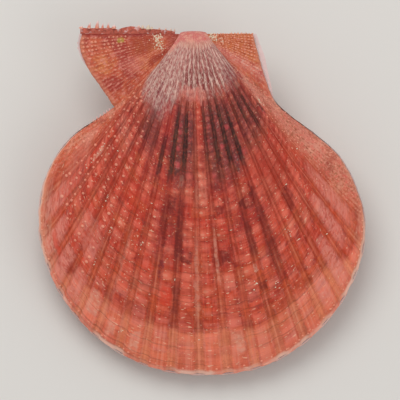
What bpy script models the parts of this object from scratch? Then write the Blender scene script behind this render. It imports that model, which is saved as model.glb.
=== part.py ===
"""Scallop shell: a closed pair of valves lying as it rests, on the belly of the right valve.

Metres, +Z up. The hinge line runs along X with the long anterior ear toward -X, and the rounded
ventral margin is toward -Y. The shell is built in its own frame, with the beaks at the origin and
the plane where the valves meet at z = 0, and an empty then lays it down as it rests.

Each valve follows one growth law. Its outline at full size is also its outline at every younger
stage, only smaller and turned up round the hinge line, so the surface is a logarithmic-like coil.
"""

import math

import bmesh
import bpy
from mathutils import Euler, Vector

MM = 0.001
PART_NAME = "scallop_shell"

# Outline of the full-grown shell in mm, seen square on from above the left valve with the beak at
# 0, 0. The third number is the direction in which the point's growth line leaves the beak, in
# degrees from straight down, so the shoulders can flare outward as the shell grows.
ANTERIOR_EAR_LEFT = (
    (-27.8, 0.0, -90.0),
    (-28.3, -3.6, -83.0),
    (-26.3, -8.6, -72.0),
    (-23.3, -13.0, -61.0),
    (-20.5, -17.2, -50.0),
)
ANTERIOR_EAR_RIGHT = (
    (-28.3, 0.0, -90.0),
    (-28.5, -3.5, -83.0),
    (-27.0, -7.2, -75.0),
    (-23.6, -9.2, -68.5),
    (-18.5, -9.2, -63.5),
    (-15.2, -9.0, -58.5),
    (-16.4, -12.2, -53.5),
    (-18.4, -15.8, -49.5),
)
DISC = (
    (-19.9, -19.0, -46.0),
    (-24.8, -22.0, -45.2),
    (-30.0, -25.6, -44.3),
    (-34.4, -31.2, -43.0),
    (-37.4, -38.2, -41.0),
    (-38.3, -47.0, -37.9),
    (-36.8, -56.0, -33.0),
    (-32.0, -66.2, -25.8),
    (-23.8, -75.6, -17.5),
    (-11.5, -82.6, -7.9),
    (2.0, -84.9, 1.3),
    (15.5, -83.4, 10.5),
    (26.8, -77.6, 19.0),
    (35.6, -68.6, 27.3),
    (41.2, -58.0, 34.8),
    (42.9, -48.0, 40.2),
    (41.2, -39.5, 43.4),
    (37.0, -31.2, 45.8),
    (31.0, -25.6, 47.5),
    (24.3, -20.6, 48.8),
    (20.4, -16.8, 50.4),
)
POSTERIOR_EAR_LEFT = ((18.2, -11.4, 58.0), (16.2, -4.6, 74.0), (15.0, 0.0, 90.0))
POSTERIOR_EAR_RIGHT = (
    (19.4, -13.2, 55.8),
    (18.4, -9.0, 64.0),
    (17.6, -5.4, 73.0),
    (15.6, 0.0, 90.0),
)
CURVE_STEPS = 12

# The growth law: how far the shell has turned up round the hinge since it was a given share of
# its size. The ears turn less than the disc, and the inner wall less than the outer one. The
# beak is a blunt, broad knob, so the youngest growth lines stand apart along the hinge.
WIND = 0.385
CURL = 0.12
EAR_WIND_SHARE = 0.55
INNER_WIND_SHARE = 0.93
FLARE_POWER = 3.0
UMBO_SPREAD = 4.5 * MM
UMBO_POWER = 11
EAR_BLEND_DEG = 3.0
LEAST_SUPPORT = 0.4

# Walls and the seam between the valves.
HALF_SEAM = 0.15 * MM
WALL = 0.7 * MM
LIP = 0.25 * MM
HINGE_HALF_GAP = 0.42 * MM
HINGE_BAND = (2.6 * MM, 4.6 * MM)
HINGE_PLATE_STAGES = (0.02, 0.08)

# Ribs: 19 primary ribs on the disc, square-topped, with those of the two valves interlocking.
MIDDLE_RIB_DEG = 3.5
RIB_PITCH_DEG = 4.8
CROWDING_LEFT = 0.0005
CROWDING_RIGHT = 0.001
FIRST_RIB = -10
LAST_RIB = 8
RIB_HEIGHT = 0.9 * MM
RIB_HEIGHT_POWER = 0.75
SEAM_WAVE = 0.2 * MM
SEAM_WAVE_POWER = 4
FIRST_RIB_FADE = (-11.5, -7.5)
LAST_RIB_FADE = (6.5, 9.5)
RIB_PROFILE = ((-0.26, 1.0), (0.26, 1.0), (0.40, 0.0), (0.60, 0.0))
EAR_RIB_HEIGHT = 0.22 * MM
ANTERIOR_EAR_COLUMNS = (-90, -85, -80, -75, -70, -65, -60.5, -56, -52, -48.5)
POSTERIOR_EAR_COLUMNS = (53, 58, 64, 70, 77, 84, 90)
FLANK_COLUMNS_LEFT = (-46.0, -45.5, -45.0, -44.5, -44.0)
FLANK_COLUMNS_RIGHT = (42.0, 43.2, 44.4, 45.6, 46.7, 47.6, 48.5, 49.5, 50.6)
STAGES = (0.008, 0.022, 0.045, 0.08, 0.135, 0.22, 0.33, 0.48, 0.64, 0.82, 1.0)

# The fold along the anterior half of the right valve's hinge: x in mm against its height.
FOLD_HEIGHTS = (
    (-28.2, 1.35),
    (-24.0, 1.5),
    (-20.0, 1.5),
    (-18.8, 1.15),
    (-15.0, 1.9),
    (-12.0, 1.6),
    (-8.0, 1.2),
    (-4.5, 0.75),
)
FOLD_THICKNESS = 0.4 * MM
FOLD_ROOT = (-0.7 * MM, -0.635 * MM)
FOLD_RISE = 0.65 * MM
FOLD_RISES_FROM = (0.7, 1.2)
FOLD_OUT_POWER = 0.8
FOLD_UP_POWER = 2.5
FOLD_SEGMENTS = 5
# Spines on the fold: x and length in mm.
SPINES = ((-26.0, 1.2), (-24.0, 1.8), (-22.6, 1.0), (-21.2, 1.1), (-19.5, 0.8))
SPINE_RADIUS = 0.38 * MM
SPINE_TIP = 0.06 * MM
SPINE_ROOT = 0.5 * MM
SPINE_LEAN_DEG = -72
SPINE_FAN_DEG = 4
SPINE_SIDES = 6

# The ligament's outline between the hinge plates, x and y in mm, with the pad under the beaks.
LIGAMENT = (
    (-27.2, -0.3),
    (-27.2, -1.3),
    (-2.2, -1.5),
    (-1.2, -2.9),
    (1.2, -2.9),
    (2.2, -1.5),
    (14.4, -1.3),
    (14.4, -0.3),
)
LIGAMENT_HALF_THICKNESS = 0.12 * MM

# How the closed shell lies: turned about X then Y, with its beaks at this point. The deepest rib
# crests reach a quarter of a millimetre below the floor, and are cut off flat there.
REST_PITCH_DEG = 9.4
REST_ROLL_DEG = -0.6
BEAK_AT = Vector((-2.35, 40.64, 19.36)) * MM
FLOOR_CUTTER = Vector((0.1, 0.1, 0.01))

SHARP_ANGLE = math.radians(40)
SHELL_ROUGHNESS = 0.5
LIGAMENT_ROUGHNESS = 0.45
SHELL_RED = (0.56, 0.085, 0.05)
SHELL_PALE = (0.62, 0.20, 0.14)
LIGAMENT_BROWN = (0.06, 0.025, 0.012)


def smooth_step(low, high, value):
    """0 below low, 1 above high, and an even slope between."""
    share = min(max((value - low) / (high - low), 0.0), 1.0)
    return share * share * (3.0 - 2.0 * share)


def between(points, value):
    """Straight-line reading of a list of (x, y) pairs at x = value."""
    for (x0, y0), (x1, y1) in zip(points, points[1:]):
        if value <= x1:
            return y0 + (y1 - y0) * max(value - x0, 0.0) / (x1 - x0)
    return points[-1][1]


class Outline:
    """The full-grown margin as a smooth curve, read by the direction of its growth lines."""

    def __init__(self, points, lip):
        knots = [Vector(point) for point in points]
        knots = [2 * knots[0] - knots[1], *knots, 2 * knots[-1] - knots[-2]]
        self.samples = []
        for before, start, end, after in zip(knots, knots[1:], knots[2:], knots[3:]):
            for step in range(CURVE_STEPS):
                share = step / CURVE_STEPS
                slope = end - before
                bend = 2 * before - 5 * start + 4 * end - after
                twist = 3 * start - 3 * end + after - before
                point = 2 * start + share * (slope + share * (bend + share * twist))
                self.samples.append(point / 2)
        self.samples.append(Vector(points[-1]))
        self.lip = lip

    def at(self, birth):
        """Margin point in metres and the outline's outward direction for one growth line."""
        last = len(self.samples) - 2
        low = next((i for i in range(last) if birth <= self.samples[i + 1].z), last)
        start, end = self.samples[low], self.samples[low + 1]
        share = (birth - start.z) / (end.z - start.z)
        point = (start + share * (end - start)).to_2d() * MM
        along = (end - start).to_2d().normalized()
        outward = Vector((along.y, -along.x))
        return point + outward * self.lip, outward


def winding(stage):
    """Angle in radians that the growing edge has turned since it was this share of full size."""
    return WIND * (stage**-CURL - 1.0) / CURL


def disc_share(birth):
    """1 on the disc and 0 on the ears, with a short blend where they meet."""
    anterior = smooth_step(DISC[0][2] - EAR_BLEND_DEG, DISC[0][2], birth)
    posterior = smooth_step(DISC[-1][2], DISC[-1][2] + EAR_BLEND_DEG, birth)
    return anterior * (1.0 - posterior)


def rib_direction(number):
    """Direction of a rib at the beak: an even fan that crowds a little toward the shoulders."""
    crowding = CROWDING_LEFT if number < 0 else CROWDING_RIGHT
    return MIDDLE_RIB_DEG + RIB_PITCH_DEG * number * (1.0 - crowding * number * number)


def rib_strength(number):
    """Ribs lose their height over the last few toward each shoulder."""
    return smooth_step(*FIRST_RIB_FADE, number) * (1.0 - smooth_step(*LAST_RIB_FADE, number))


def columns(shift):
    """(birth direction, relief 0 to 1, seam wave -1 to 1, ear relief) for each column of the mesh."""
    found = []
    for index, birth in enumerate(ANTERIOR_EAR_COLUMNS):
        found.append((birth, 0.0, 0.0, float(index % 2)))
    for birth in FLANK_COLUMNS_LEFT:
        found.append((birth, 0.0, 0.0, 0.0))
    for rib in range(FIRST_RIB, LAST_RIB + 1):
        for phase, height in RIB_PROFILE:
            number = rib + phase + shift
            strength = rib_strength(number)
            wave = (2.0 * height - 1.0) * strength
            found.append((rib_direction(number), height * strength, wave, 0.0))
    for birth in FLANK_COLUMNS_RIGHT:
        found.append((birth, 0.0, 0.0, 0.0))
    for index, birth in enumerate(POSTERIOR_EAR_COLUMNS):
        found.append((birth, 0.0, 0.0, float(index % 2)))
    return sorted(found)


def law(outline, birth, stage, wind_share):
    """Point of the growth surface, and the direction that stands off it."""
    margin, outward = outline.at(birth)
    radius = margin.length
    grown = math.atan2(margin.x, -margin.y)
    direction = math.radians(birth) + (grown - math.radians(birth)) * stage**FLARE_POWER
    reach = stage * radius * math.cos(direction)
    turn = winding(stage) * wind_share
    spread = UMBO_SPREAD * (1.0 - stage) ** UMBO_POWER
    side = (stage * radius + spread) * math.sin(direction)
    point = Vector((side, -reach * math.cos(turn), reach * math.sin(turn)))
    support = max(margin.dot(outward), LEAST_SUPPORT * radius)
    lean = WIND * wind_share * stage**-CURL * -margin.y / support
    off = Vector((0.0, math.sin(turn), math.cos(turn)))
    off += lean * Vector((outward.x, outward.y * math.cos(turn), -outward.y * math.sin(turn)))
    return point, off.normalized()


def wind_share_of(birth):
    return EAR_WIND_SHARE + (1.0 - EAR_WIND_SHARE) * disc_share(birth)


def outer_point(outline, column, stage):
    """Point of the outside: the growth surface, raised by the wall and by the ribs."""
    birth, relief, _, ear_relief = column
    point, off = law(outline, birth, stage, wind_share_of(birth))
    height = RIB_HEIGHT * stage**RIB_HEIGHT_POWER * relief
    height += EAR_RIB_HEIGHT * stage * ear_relief
    return point + off * height + Vector((0.0, 0.0, HALF_SEAM + WALL))


def inner_point(outline, column, stage):
    """Point of the inside: it turns up less, and ends on a flat hinge plate under the beak."""
    birth, _, wave, _ = column
    wind_share = wind_share_of(birth) * INNER_WIND_SHARE * smooth_step(*HINGE_PLATE_STAGES, stage)
    point, _ = law(outline, birth, stage, wind_share)
    at_hinge = 1.0 - smooth_step(*HINGE_BAND, -point.y)
    seam = HALF_SEAM + (HINGE_HALF_GAP - HALF_SEAM) * at_hinge
    return point + Vector((0.0, 0.0, seam + SEAM_WAVE * wave * stage**SEAM_WAVE_POWER))


def make_material(name, colour, roughness):
    material = bpy.data.materials.new(name)
    material.use_nodes = True
    shader = material.node_tree.nodes["Principled BSDF"]
    shader.inputs["Base Color"].default_value = (*colour, 1.0)
    shader.inputs["Roughness"].default_value = roughness
    shader.inputs["Metallic"].default_value = 0.0
    return material


def make_object(name, mesh, collection, rest, material=None):
    made = bpy.data.objects.new(name, mesh)
    made.parent = rest
    collection.objects.link(made)
    if material:
        mesh.materials.append(material)
    return made


def valve_mesh(name, outline, shift, side):
    """One valve: a grid of growth stages against growth lines, with the inner wall drawn off it."""
    across = columns(shift)
    grid = bmesh.new()
    bmesh.ops.create_grid(grid, x_segments=len(across) - 1, y_segments=len(STAGES) - 1, size=0.5)
    place = grid.verts.layers.int.new("place")
    for index, vertex in enumerate(grid.verts):
        vertex[place] = index
    drawn = bmesh.ops.extrude_face_region(grid, geom=grid.faces[:], use_keep_orig=True)
    inner = {item for item in drawn["geom"] if isinstance(item, bmesh.types.BMVert)}
    for vertex in grid.verts:
        column = across[vertex[place] % len(across)]
        stage = STAGES[vertex[place] // len(across)]
        wall = inner_point if vertex in inner else outer_point
        vertex.co = wall(outline, column, stage)
        vertex.co.z *= side
    bmesh.ops.recalc_face_normals(grid, faces=grid.faces)
    mesh = bpy.data.meshes.new(name)
    grid.to_mesh(mesh)
    grid.free()
    mesh.shade_smooth()
    mesh.set_sharp_from_angle(angle=SHARP_ANGLE)
    return mesh


def fold_mesh():
    """The right valve's dorsal fold as a bent strip, for Solidify to thicken."""
    stations = len(FOLD_HEIGHTS)
    grid = bmesh.new()
    bmesh.ops.create_grid(grid, x_segments=stations - 1, y_segments=FOLD_SEGMENTS, size=0.5)
    grid.verts.ensure_lookup_table()
    for index, vertex in enumerate(grid.verts):
        x, height = FOLD_HEIGHTS[index % stations]
        share = (index // stations) / FOLD_SEGMENTS
        crest = (height * MM) - FOLD_THICKNESS / 2
        rise = FOLD_RISE * smooth_step(*FOLD_RISES_FROM, height)
        vertex.co.x = x * MM
        vertex.co.y = FOLD_ROOT[0] + (crest - FOLD_ROOT[0]) * share**FOLD_OUT_POWER
        vertex.co.z = FOLD_ROOT[1] + rise * share**FOLD_UP_POWER
    mesh = bpy.data.meshes.new("dorsal_fold")
    grid.to_mesh(mesh)
    grid.free()
    return mesh


def spine_mesh(length):
    cone = bmesh.new()
    bmesh.ops.create_cone(
        cone,
        cap_ends=True,
        segments=SPINE_SIDES,
        radius1=SPINE_RADIUS,
        radius2=SPINE_TIP,
        depth=length + SPINE_ROOT,
    )
    bmesh.ops.translate(cone, verts=cone.verts, vec=(0.0, 0.0, (length - SPINE_ROOT) / 2))
    mesh = bpy.data.meshes.new("spine")
    cone.to_mesh(mesh)
    cone.free()
    return mesh


def add_boolean(target, cutter, operation):
    modifier = target.modifiers.new(cutter.name, "BOOLEAN")
    modifier.operation = operation
    modifier.solver = "EXACT"
    modifier.object = cutter


def as_helper(made):
    made.hide_render = True
    made.display_type = "WIRE"


def add_fold_and_spines(valve, helpers, rest):
    """The fold with its row of spines, joined to the right valve."""
    fold = make_object("dorsal_fold", fold_mesh(), helpers, rest)
    solidify = fold.modifiers.new("thickness", "SOLIDIFY")
    solidify.thickness = FOLD_THICKNESS
    solidify.offset = 0.0
    as_helper(fold)
    add_boolean(valve, fold, "UNION")
    for number, (x, length) in enumerate(SPINES, start=1):
        spine = make_object(f"spine_{number}", spine_mesh(length * MM), helpers, rest)
        height = between(FOLD_HEIGHTS, x) * MM
        spine.location = (x * MM, height, FOLD_ROOT[1] + FOLD_RISE)
        fan = SPINE_FAN_DEG * (number - len(SPINES) // 2 - 1)
        spine.rotation_euler = (math.radians(SPINE_LEAN_DEG), 0.0, math.radians(fan))
        as_helper(spine)
        add_boolean(valve, spine, "UNION")


def add_ligament(collection, rest, material):
    """The thin elastic band between the hinge plates."""
    curve = bpy.data.curves.new("ligament", "CURVE")
    curve.dimensions = "2D"
    curve.fill_mode = "BOTH"
    curve.extrude = LIGAMENT_HALF_THICKNESS
    spline = curve.splines.new("POLY")
    spline.points.add(len(LIGAMENT) - 1)
    for point, (x, y) in zip(spline.points, LIGAMENT):
        point.co = (x * MM, y * MM, 0.0, 1.0)
    spline.use_cyclic_u = True
    curve.materials.append(material)
    ligament = bpy.data.objects.new("ligament", curve)
    ligament.parent = rest
    collection.objects.link(ligament)


def wear_flat(valve, helpers):
    """The rib crests under the belly are worn flat where the shell rests."""
    box = bmesh.new()
    bmesh.ops.create_cube(box, size=1.0)
    mesh = bpy.data.meshes.new("floor_wear")
    box.to_mesh(mesh)
    box.free()
    floor = bpy.data.objects.new("floor_wear", mesh)
    floor.scale = FLOOR_CUTTER
    floor.location.z = -FLOOR_CUTTER.z / 2
    helpers.objects.link(floor)
    as_helper(floor)
    add_boolean(valve, floor, "DIFFERENCE")


def main():
    for old in list(bpy.data.objects):
        bpy.data.objects.remove(old, do_unlink=True)
    collection = bpy.data.collections.new(PART_NAME)
    helpers = bpy.data.collections.new("cutters")
    bpy.context.scene.collection.children.link(collection)
    bpy.context.scene.collection.children.link(helpers)
    rest = bpy.data.objects.new("rest_pose", None)
    rest.location = BEAK_AT
    rest.rotation_euler = Euler((math.radians(REST_PITCH_DEG), math.radians(REST_ROLL_DEG), 0.0))
    collection.objects.link(rest)

    red = make_material("left_valve_calcite", SHELL_RED, SHELL_ROUGHNESS)
    pale = make_material("right_valve_calcite", SHELL_PALE, SHELL_ROUGHNESS)
    brown = make_material("ligament_conchiolin", LIGAMENT_BROWN, LIGAMENT_ROUGHNESS)

    left_outline = Outline(ANTERIOR_EAR_LEFT + DISC + POSTERIOR_EAR_LEFT, 0.0)
    left = valve_mesh("left_valve", left_outline, 0.0, 1.0)
    make_object("left_valve", left, collection, rest, red)

    right_outline = Outline(ANTERIOR_EAR_RIGHT + DISC + POSTERIOR_EAR_RIGHT, LIP)
    right = valve_mesh("right_valve", right_outline, 0.5, -1.0)
    right_valve = make_object("right_valve", right, collection, rest, pale)
    add_fold_and_spines(right_valve, helpers, rest)
    wear_flat(right_valve, helpers)

    add_ligament(collection, rest, brown)


main()
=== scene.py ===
# %% [markdown]
# # A scallop shell, grown instead of sculpted
#
# A scallop adds a thin strip of shell along its whole margin every few days, and never changes
# what it has already built. So the whole outside of a valve can be written as one rule: take the
# outline that it has today, make it smaller for an earlier day, and turn it up round the hinge by
# the angle that it has wound since then. Ribs, scales, bars of colour and blotches all follow
# the same two numbers: which growth line a point is on, counted in ribs across the fan, and its
# stage, the share of full size that the shell had when the point was at its margin.
#
# The lesson builds the two valves, the fold and the spines beside the hinge, the beads, the
# scales and the crusts from these two numbers, and paints them with the same two numbers.

# %% Load the frame and the tools
import math

import bmesh
import bpy
import numpy as np
from mathutils import Euler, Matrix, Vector


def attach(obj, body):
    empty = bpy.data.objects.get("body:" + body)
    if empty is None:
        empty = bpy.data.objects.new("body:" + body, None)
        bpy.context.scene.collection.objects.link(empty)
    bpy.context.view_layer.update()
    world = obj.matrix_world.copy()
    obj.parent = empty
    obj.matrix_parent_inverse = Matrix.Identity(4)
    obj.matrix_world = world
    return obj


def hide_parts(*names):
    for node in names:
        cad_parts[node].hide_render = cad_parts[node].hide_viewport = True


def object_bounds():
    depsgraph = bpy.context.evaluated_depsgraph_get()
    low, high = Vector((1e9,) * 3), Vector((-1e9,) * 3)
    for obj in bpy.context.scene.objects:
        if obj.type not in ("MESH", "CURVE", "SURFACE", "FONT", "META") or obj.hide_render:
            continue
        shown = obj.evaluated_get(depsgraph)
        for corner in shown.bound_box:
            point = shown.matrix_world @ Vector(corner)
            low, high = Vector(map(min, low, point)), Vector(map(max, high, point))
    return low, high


MM = 0.001
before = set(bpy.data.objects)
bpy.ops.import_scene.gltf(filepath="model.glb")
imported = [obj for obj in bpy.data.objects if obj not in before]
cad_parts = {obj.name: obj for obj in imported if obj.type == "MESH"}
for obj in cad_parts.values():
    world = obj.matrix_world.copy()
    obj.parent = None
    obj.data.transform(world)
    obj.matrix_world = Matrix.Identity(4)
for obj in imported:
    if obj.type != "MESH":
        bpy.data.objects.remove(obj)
cad_low, cad_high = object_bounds()
print("solids span, mm:", [round((b - a) / MM, 1) for a, b in zip(cad_low, cad_high)])

# %% [markdown]
# ## The outline of the full-grown shell
#
# A valve could be drawn as a sculpted surface, but its outline is all that its growth law needs.
# These are the points of the solid model's outline: x and y in millimetres from the beak, as
# seen from above the left valve, and the direction in degrees in which the growth line of that
# point leaves the beak. The two valves share the round disc. They differ in the front ear, where
# the right valve has a deep notch for the threads that tie a living scallop down.

# %% Outline points
LEFT_FRONT_EAR = [
    (-27.8, 0, -90), (-28.3, -3.6, -83), (-26.3, -8.6, -72), (-23.3, -13, -61),
    (-20.5, -17.2, -50),
]
RIGHT_FRONT_EAR = [
    (-28.3, 0, -90), (-28.5, -3.5, -83), (-27, -7.2, -75), (-23.6, -9.2, -68.5),
    (-18.5, -9.2, -63.5), (-15.2, -9, -58.5), (-16.4, -12.2, -53.5), (-18.4, -15.8, -49.5),
]
DISC = [
    (-19.9, -19, -46), (-24.8, -22, -45.2), (-30, -25.6, -44.3), (-34.4, -31.2, -43),
    (-37.4, -38.2, -41), (-38.3, -47, -37.9), (-36.8, -56, -33), (-32, -66.2, -25.8),
    (-23.8, -75.6, -17.5), (-11.5, -82.6, -7.9), (2, -84.9, 1.3), (15.5, -83.4, 10.5),
    (26.8, -77.6, 19), (35.6, -68.6, 27.3), (41.2, -58, 34.8), (42.9, -48, 40.2),
    (41.2, -39.5, 43.4), (37, -31.2, 45.8), (31, -25.6, 47.5), (24.3, -20.6, 48.8),
    (20.4, -16.8, 50.4),
]
LEFT_REAR_EAR = [(18.2, -11.4, 58), (16.2, -4.6, 74), (15, 0, 90)]
RIGHT_REAR_EAR = [(19.4, -13.2, 55.8), (18.4, -9, 64), (17.6, -5.4, 73), (15.6, 0, 90)]
CURVE_STEPS = 12
LIP = 0.25 * MM
NICK = 0.12 * MM
SHELL_HEIGHT_MM = 85.0


def smooth_outline(points, lip):
    """Dense Catmull-Rom samples of the outline in metres, with their outward directions."""
    knots = np.array(points, float)
    knots = np.vstack([2 * knots[0] - knots[1], knots, 2 * knots[-1] - knots[-2]])
    share = np.linspace(0, 1, CURVE_STEPS, endpoint=False)[:, None]
    curve = []
    for before, start, end, after in zip(knots, knots[1:], knots[2:], knots[3:]):
        bend = 2 * before - 5 * start + 4 * end - after
        twist = 3 * start - 3 * end + after - before
        curve.append((2 * start + share * (end - before + share * (bend + share * twist))) / 2)
    curve = np.vstack([*curve, knots[-2]])
    along = np.gradient(curve[:, :2], axis=0)
    along /= np.linalg.norm(along, axis=1)[:, None]
    outward = np.stack([along[:, 1], -along[:, 0]], axis=1)
    worn = np.random.default_rng(len(points)).random(len(curve))[:, None] ** 2 * NICK
    return curve[:, :2] * MM + outward * (lip - worn), outward, curve[:, 2]


left_outline = smooth_outline(LEFT_FRONT_EAR + DISC + LEFT_REAR_EAR, 0.0)
right_outline = smooth_outline(RIGHT_FRONT_EAR + DISC + RIGHT_REAR_EAR, LIP)
print("outline samples:", len(left_outline[0]), "left,", len(right_outline[0]), "right")

# %% [markdown]
# ## Counting growth lines in ribs
#
# The shell has 19 main ribs, numbered -10 to 8 here from front to rear, with rib 0 near the
# middle. They leave the beak as an even fan that crowds a little toward the shoulders. The count
# goes on past them over the ears, where one unit is one row of beads, down to -30 along the
# front half of the hinge and up to 25 along the rear half.

# %% Growth lines by number
MIDDLE_RIB_DEG = 3.5
RIB_PITCH_DEG = 4.8
CROWDING_FRONT = 0.0005
CROWDING_REAR = 0.001
DISC_BIRTHS = (-46.0, 50.4)
EAR_BLEND_DEG = 3.0
FRONT_EAR_LINES = (-30.0, -12.0)
REAR_EAR_LINES = (12.0, 25.0)
DISC_LINE_SPAN = (-11.5, 11.5)
DISC_LINE_SAMPLES = 461


def rib_birth(line):
    """Direction in degrees in which a growth line of the disc leaves the beak."""
    crowding = np.where(line < 0, CROWDING_FRONT, CROWDING_REAR)
    return MIDDLE_RIB_DEG + RIB_PITCH_DEG * line * (1 - crowding * line**2)


disc_lines = np.linspace(*DISC_LINE_SPAN, DISC_LINE_SAMPLES)
inside_disc = (rib_birth(disc_lines) > DISC_BIRTHS[0]) & (rib_birth(disc_lines) < DISC_BIRTHS[1])
disc_lines = disc_lines[inside_disc]
LINE_KNOTS = np.concatenate([FRONT_EAR_LINES, disc_lines, REAR_EAR_LINES])
EAR_EDGES = (DISC_BIRTHS[0] - EAR_BLEND_DEG, DISC_BIRTHS[1] + EAR_BLEND_DEG)
BIRTH_KNOTS = np.concatenate([[-90, EAR_EDGES[0]], rib_birth(disc_lines), [EAR_EDGES[1], 90]])
print(f"the disc holds lines {disc_lines[0]:.2f} to {disc_lines[-1]:.2f}")

# %% [markdown]
# ## What a growth line carries
#
# Geometry Nodes will do the growing, once for each point of the surface. What depends on the
# growth line alone is worked out here once for each line and handed over as attributes of a
# small host mesh, one point for each line: where it meets the margin, which way is outward
# there, how strongly its ribs stand, and how much of the disc's winding it shares.

# %% Host meshes
EAR_WIND_SHARE = 0.55
FIRST_RIB_FADE = (-11.5, -7.5)
LAST_RIB_FADE = (6.5, 9.5)


def smooth_step(low, high, value):
    """0 below low, 1 above high, and a smooth rise between them."""
    share = np.clip((value - low) / (high - low), 0, 1)
    return share * share * (3 - 2 * share)


def line_facts(outline, lines):
    """Everything the growth law reads about these growth lines, by attribute name."""
    margin, outward, births = outline
    lines = np.asarray(lines, float)
    birth = np.interp(lines, LINE_KNOTS, BIRTH_KNOTS)
    place = [np.interp(birth, births, margin[:, axis]) for axis in (0, 1)]
    facing = [np.interp(birth, births, outward[:, axis]) for axis in (0, 1)]
    front = smooth_step(EAR_EDGES[0], DISC_BIRTHS[0], birth)
    rear = smooth_step(DISC_BIRTHS[1], EAR_EDGES[1], birth)
    on_disc = front * (1 - rear)
    strength = smooth_step(*FIRST_RIB_FADE, lines) * (1 - smooth_step(*LAST_RIB_FADE, lines))
    return {
        "margin": np.stack([*place, 0 * birth], axis=1),
        "outward": np.stack([*facing, 0 * birth], axis=1),
        "birth": np.radians(birth),
        "grown": np.arctan2(place[0], -place[1]),
        "line": lines,
        "disc": on_disc,
        "share": EAR_WIND_SHARE + (1 - EAR_WIND_SHARE) * on_disc,
        "strength": strength,
    }


def host_object(name, facts):
    """A mesh of loose points with one attribute for each fact, placed where "place" says."""
    mesh = bpy.data.meshes.new(name)
    mesh.vertices.add(len(facts["line"]))
    for key, values in facts.items():
        values = np.asarray(values)
        kind, field = ("FLOAT_VECTOR", "vector") if values.ndim == 2 else ("FLOAT", "value")
        flat = np.ascontiguousarray(values, np.float32).ravel()
        if key == "place":
            mesh.vertices.foreach_set("co", flat)
        else:
            mesh.attributes.new(key, kind, "POINT").data.foreach_set(field, flat)
    made = bpy.data.objects.new(name, mesh)
    bpy.context.scene.collection.objects.link(made)
    return made


MARGIN_PER_COLUMN = 0.55 * MM
COLUMNS_PER_LINE = 4.0
COLUMNS = 540
COST_SAMPLES = 4000


def valve_lines(outline):
    """Line numbers of the valve's columns: closer together where ribs or the margin need it."""
    lines = np.linspace(LINE_KNOTS[0], LINE_KNOTS[-1], COST_SAMPLES)
    margin = line_facts(outline, lines)["margin"]
    steps = np.linalg.norm(np.diff(margin, axis=0), axis=1) / MARGIN_PER_COLUMN
    cost = np.concatenate([[0], np.cumsum(steps + np.diff(lines) * COLUMNS_PER_LINE)])
    return np.interp(np.linspace(0, cost[-1], COLUMNS), cost, lines)


left_lines = valve_lines(left_outline)
print("columns on the ribs:", int(np.sum(np.abs(left_lines + 1) < 9.5)), "of", COLUMNS)

# %% [markdown]
# ## One function for every node
#
# Each node tree below is written with this one function. It adds a node, applies its settings,
# and fills its inputs in order. An input may be a number, a node, or one output of a node, and
# None leaves it as it is. Only the inputs that the node's settings have switched on are counted.
# A second word in the kind is the operation, so "Math ADD" is a Math node that adds, and a
# setting that starts with a capital letter is an input, by name.

# %% Node writer
def linear(colour):
    """A hex colour such as C85546, as a screen shows it, in the linear light that shaders use."""
    levels = [int(colour[i : i + 2], 16) / 255 for i in (0, 2, 4)]
    return (*[v / 12.92 if v < 0.04045 else ((v + 0.055) / 1.055) ** 2.4 for v in levels], 1.0)


def live(source):
    """The output that a node's settings have switched on."""
    is_node = isinstance(source, bpy.types.Node)
    return next(output for output in source.outputs if output.enabled) if is_node else source


def add(tree, kind, *inputs, **settings):
    """Add a node, set it up and link it. Settings that start with a capital name its inputs."""
    kind, _, operation = kind.partition(" ")
    families = ("GeometryNode", "FunctionNode", "ShaderNode", "")
    if tree.bl_idname == "ShaderNodeTree":
        families = ("ShaderNode",)
    node = tree.nodes.new(next(f + kind for f in families if hasattr(bpy.types, f + kind)))
    if operation:
        node.operation = operation
    if "stops" in settings:
        ramp = node.color_ramp.elements
        ramp.remove(ramp[0])
        for place, colour in settings.pop("stops"):
            ramp.new(place).color = linear(colour)
        ramp.remove(ramp[-1])
    by_name = {name: value for name, value in settings.items() if name[0].isupper()}
    for name in settings.keys() - by_name.keys():
        setattr(node, name, settings[name])
    filled = list(zip([socket for socket in node.inputs if socket.enabled], inputs))
    filled += [(node.inputs[name], value) for name, value in by_name.items()]
    for socket, value in filled:
        value = live(value)
        if isinstance(value, bpy.types.NodeSocket):
            tree.links.new(value, socket)
        elif value is not None:
            socket.default_value = value
    return node


def new_tree(name, inputs, outputs):
    """A Geometry Nodes group with named sockets, each input with a type and a default."""
    tree = bpy.data.node_groups.new(name, "GeometryNodeTree")
    for socket, kind, default in inputs:
        made = tree.interface.new_socket(socket, in_out="INPUT", socket_type="NodeSocket" + kind)
        if default is not None:
            made.default_value = default
    for socket, kind in outputs:
        tree.interface.new_socket(socket, in_out="OUTPUT", socket_type="NodeSocket" + kind)
    return tree, add(tree, "NodeGroupInput").outputs


# %% [markdown]
# ## The growth law as a node group
#
# This is the one rule of the shell. For a growth line and a stage, the margin point shrinks to
# its younger size, bends from the direction that it has now to the one in which it was born,
# and turns up round the hinge line by the winding since then. The second output is the direction
# that stands off the surface there, in which walls, ribs, beads and scales are raised. A group
# keeps the rule in one place, so scales stay on the ribs when a number changes.

# %% Growth law
WIND = 0.385
CURL = 0.12
FLARE_POWER = 3.0
UMBO_SPREAD = 4.5 * MM
UMBO_POWER = 11.0
LEAST_SUPPORT = 0.4


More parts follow.
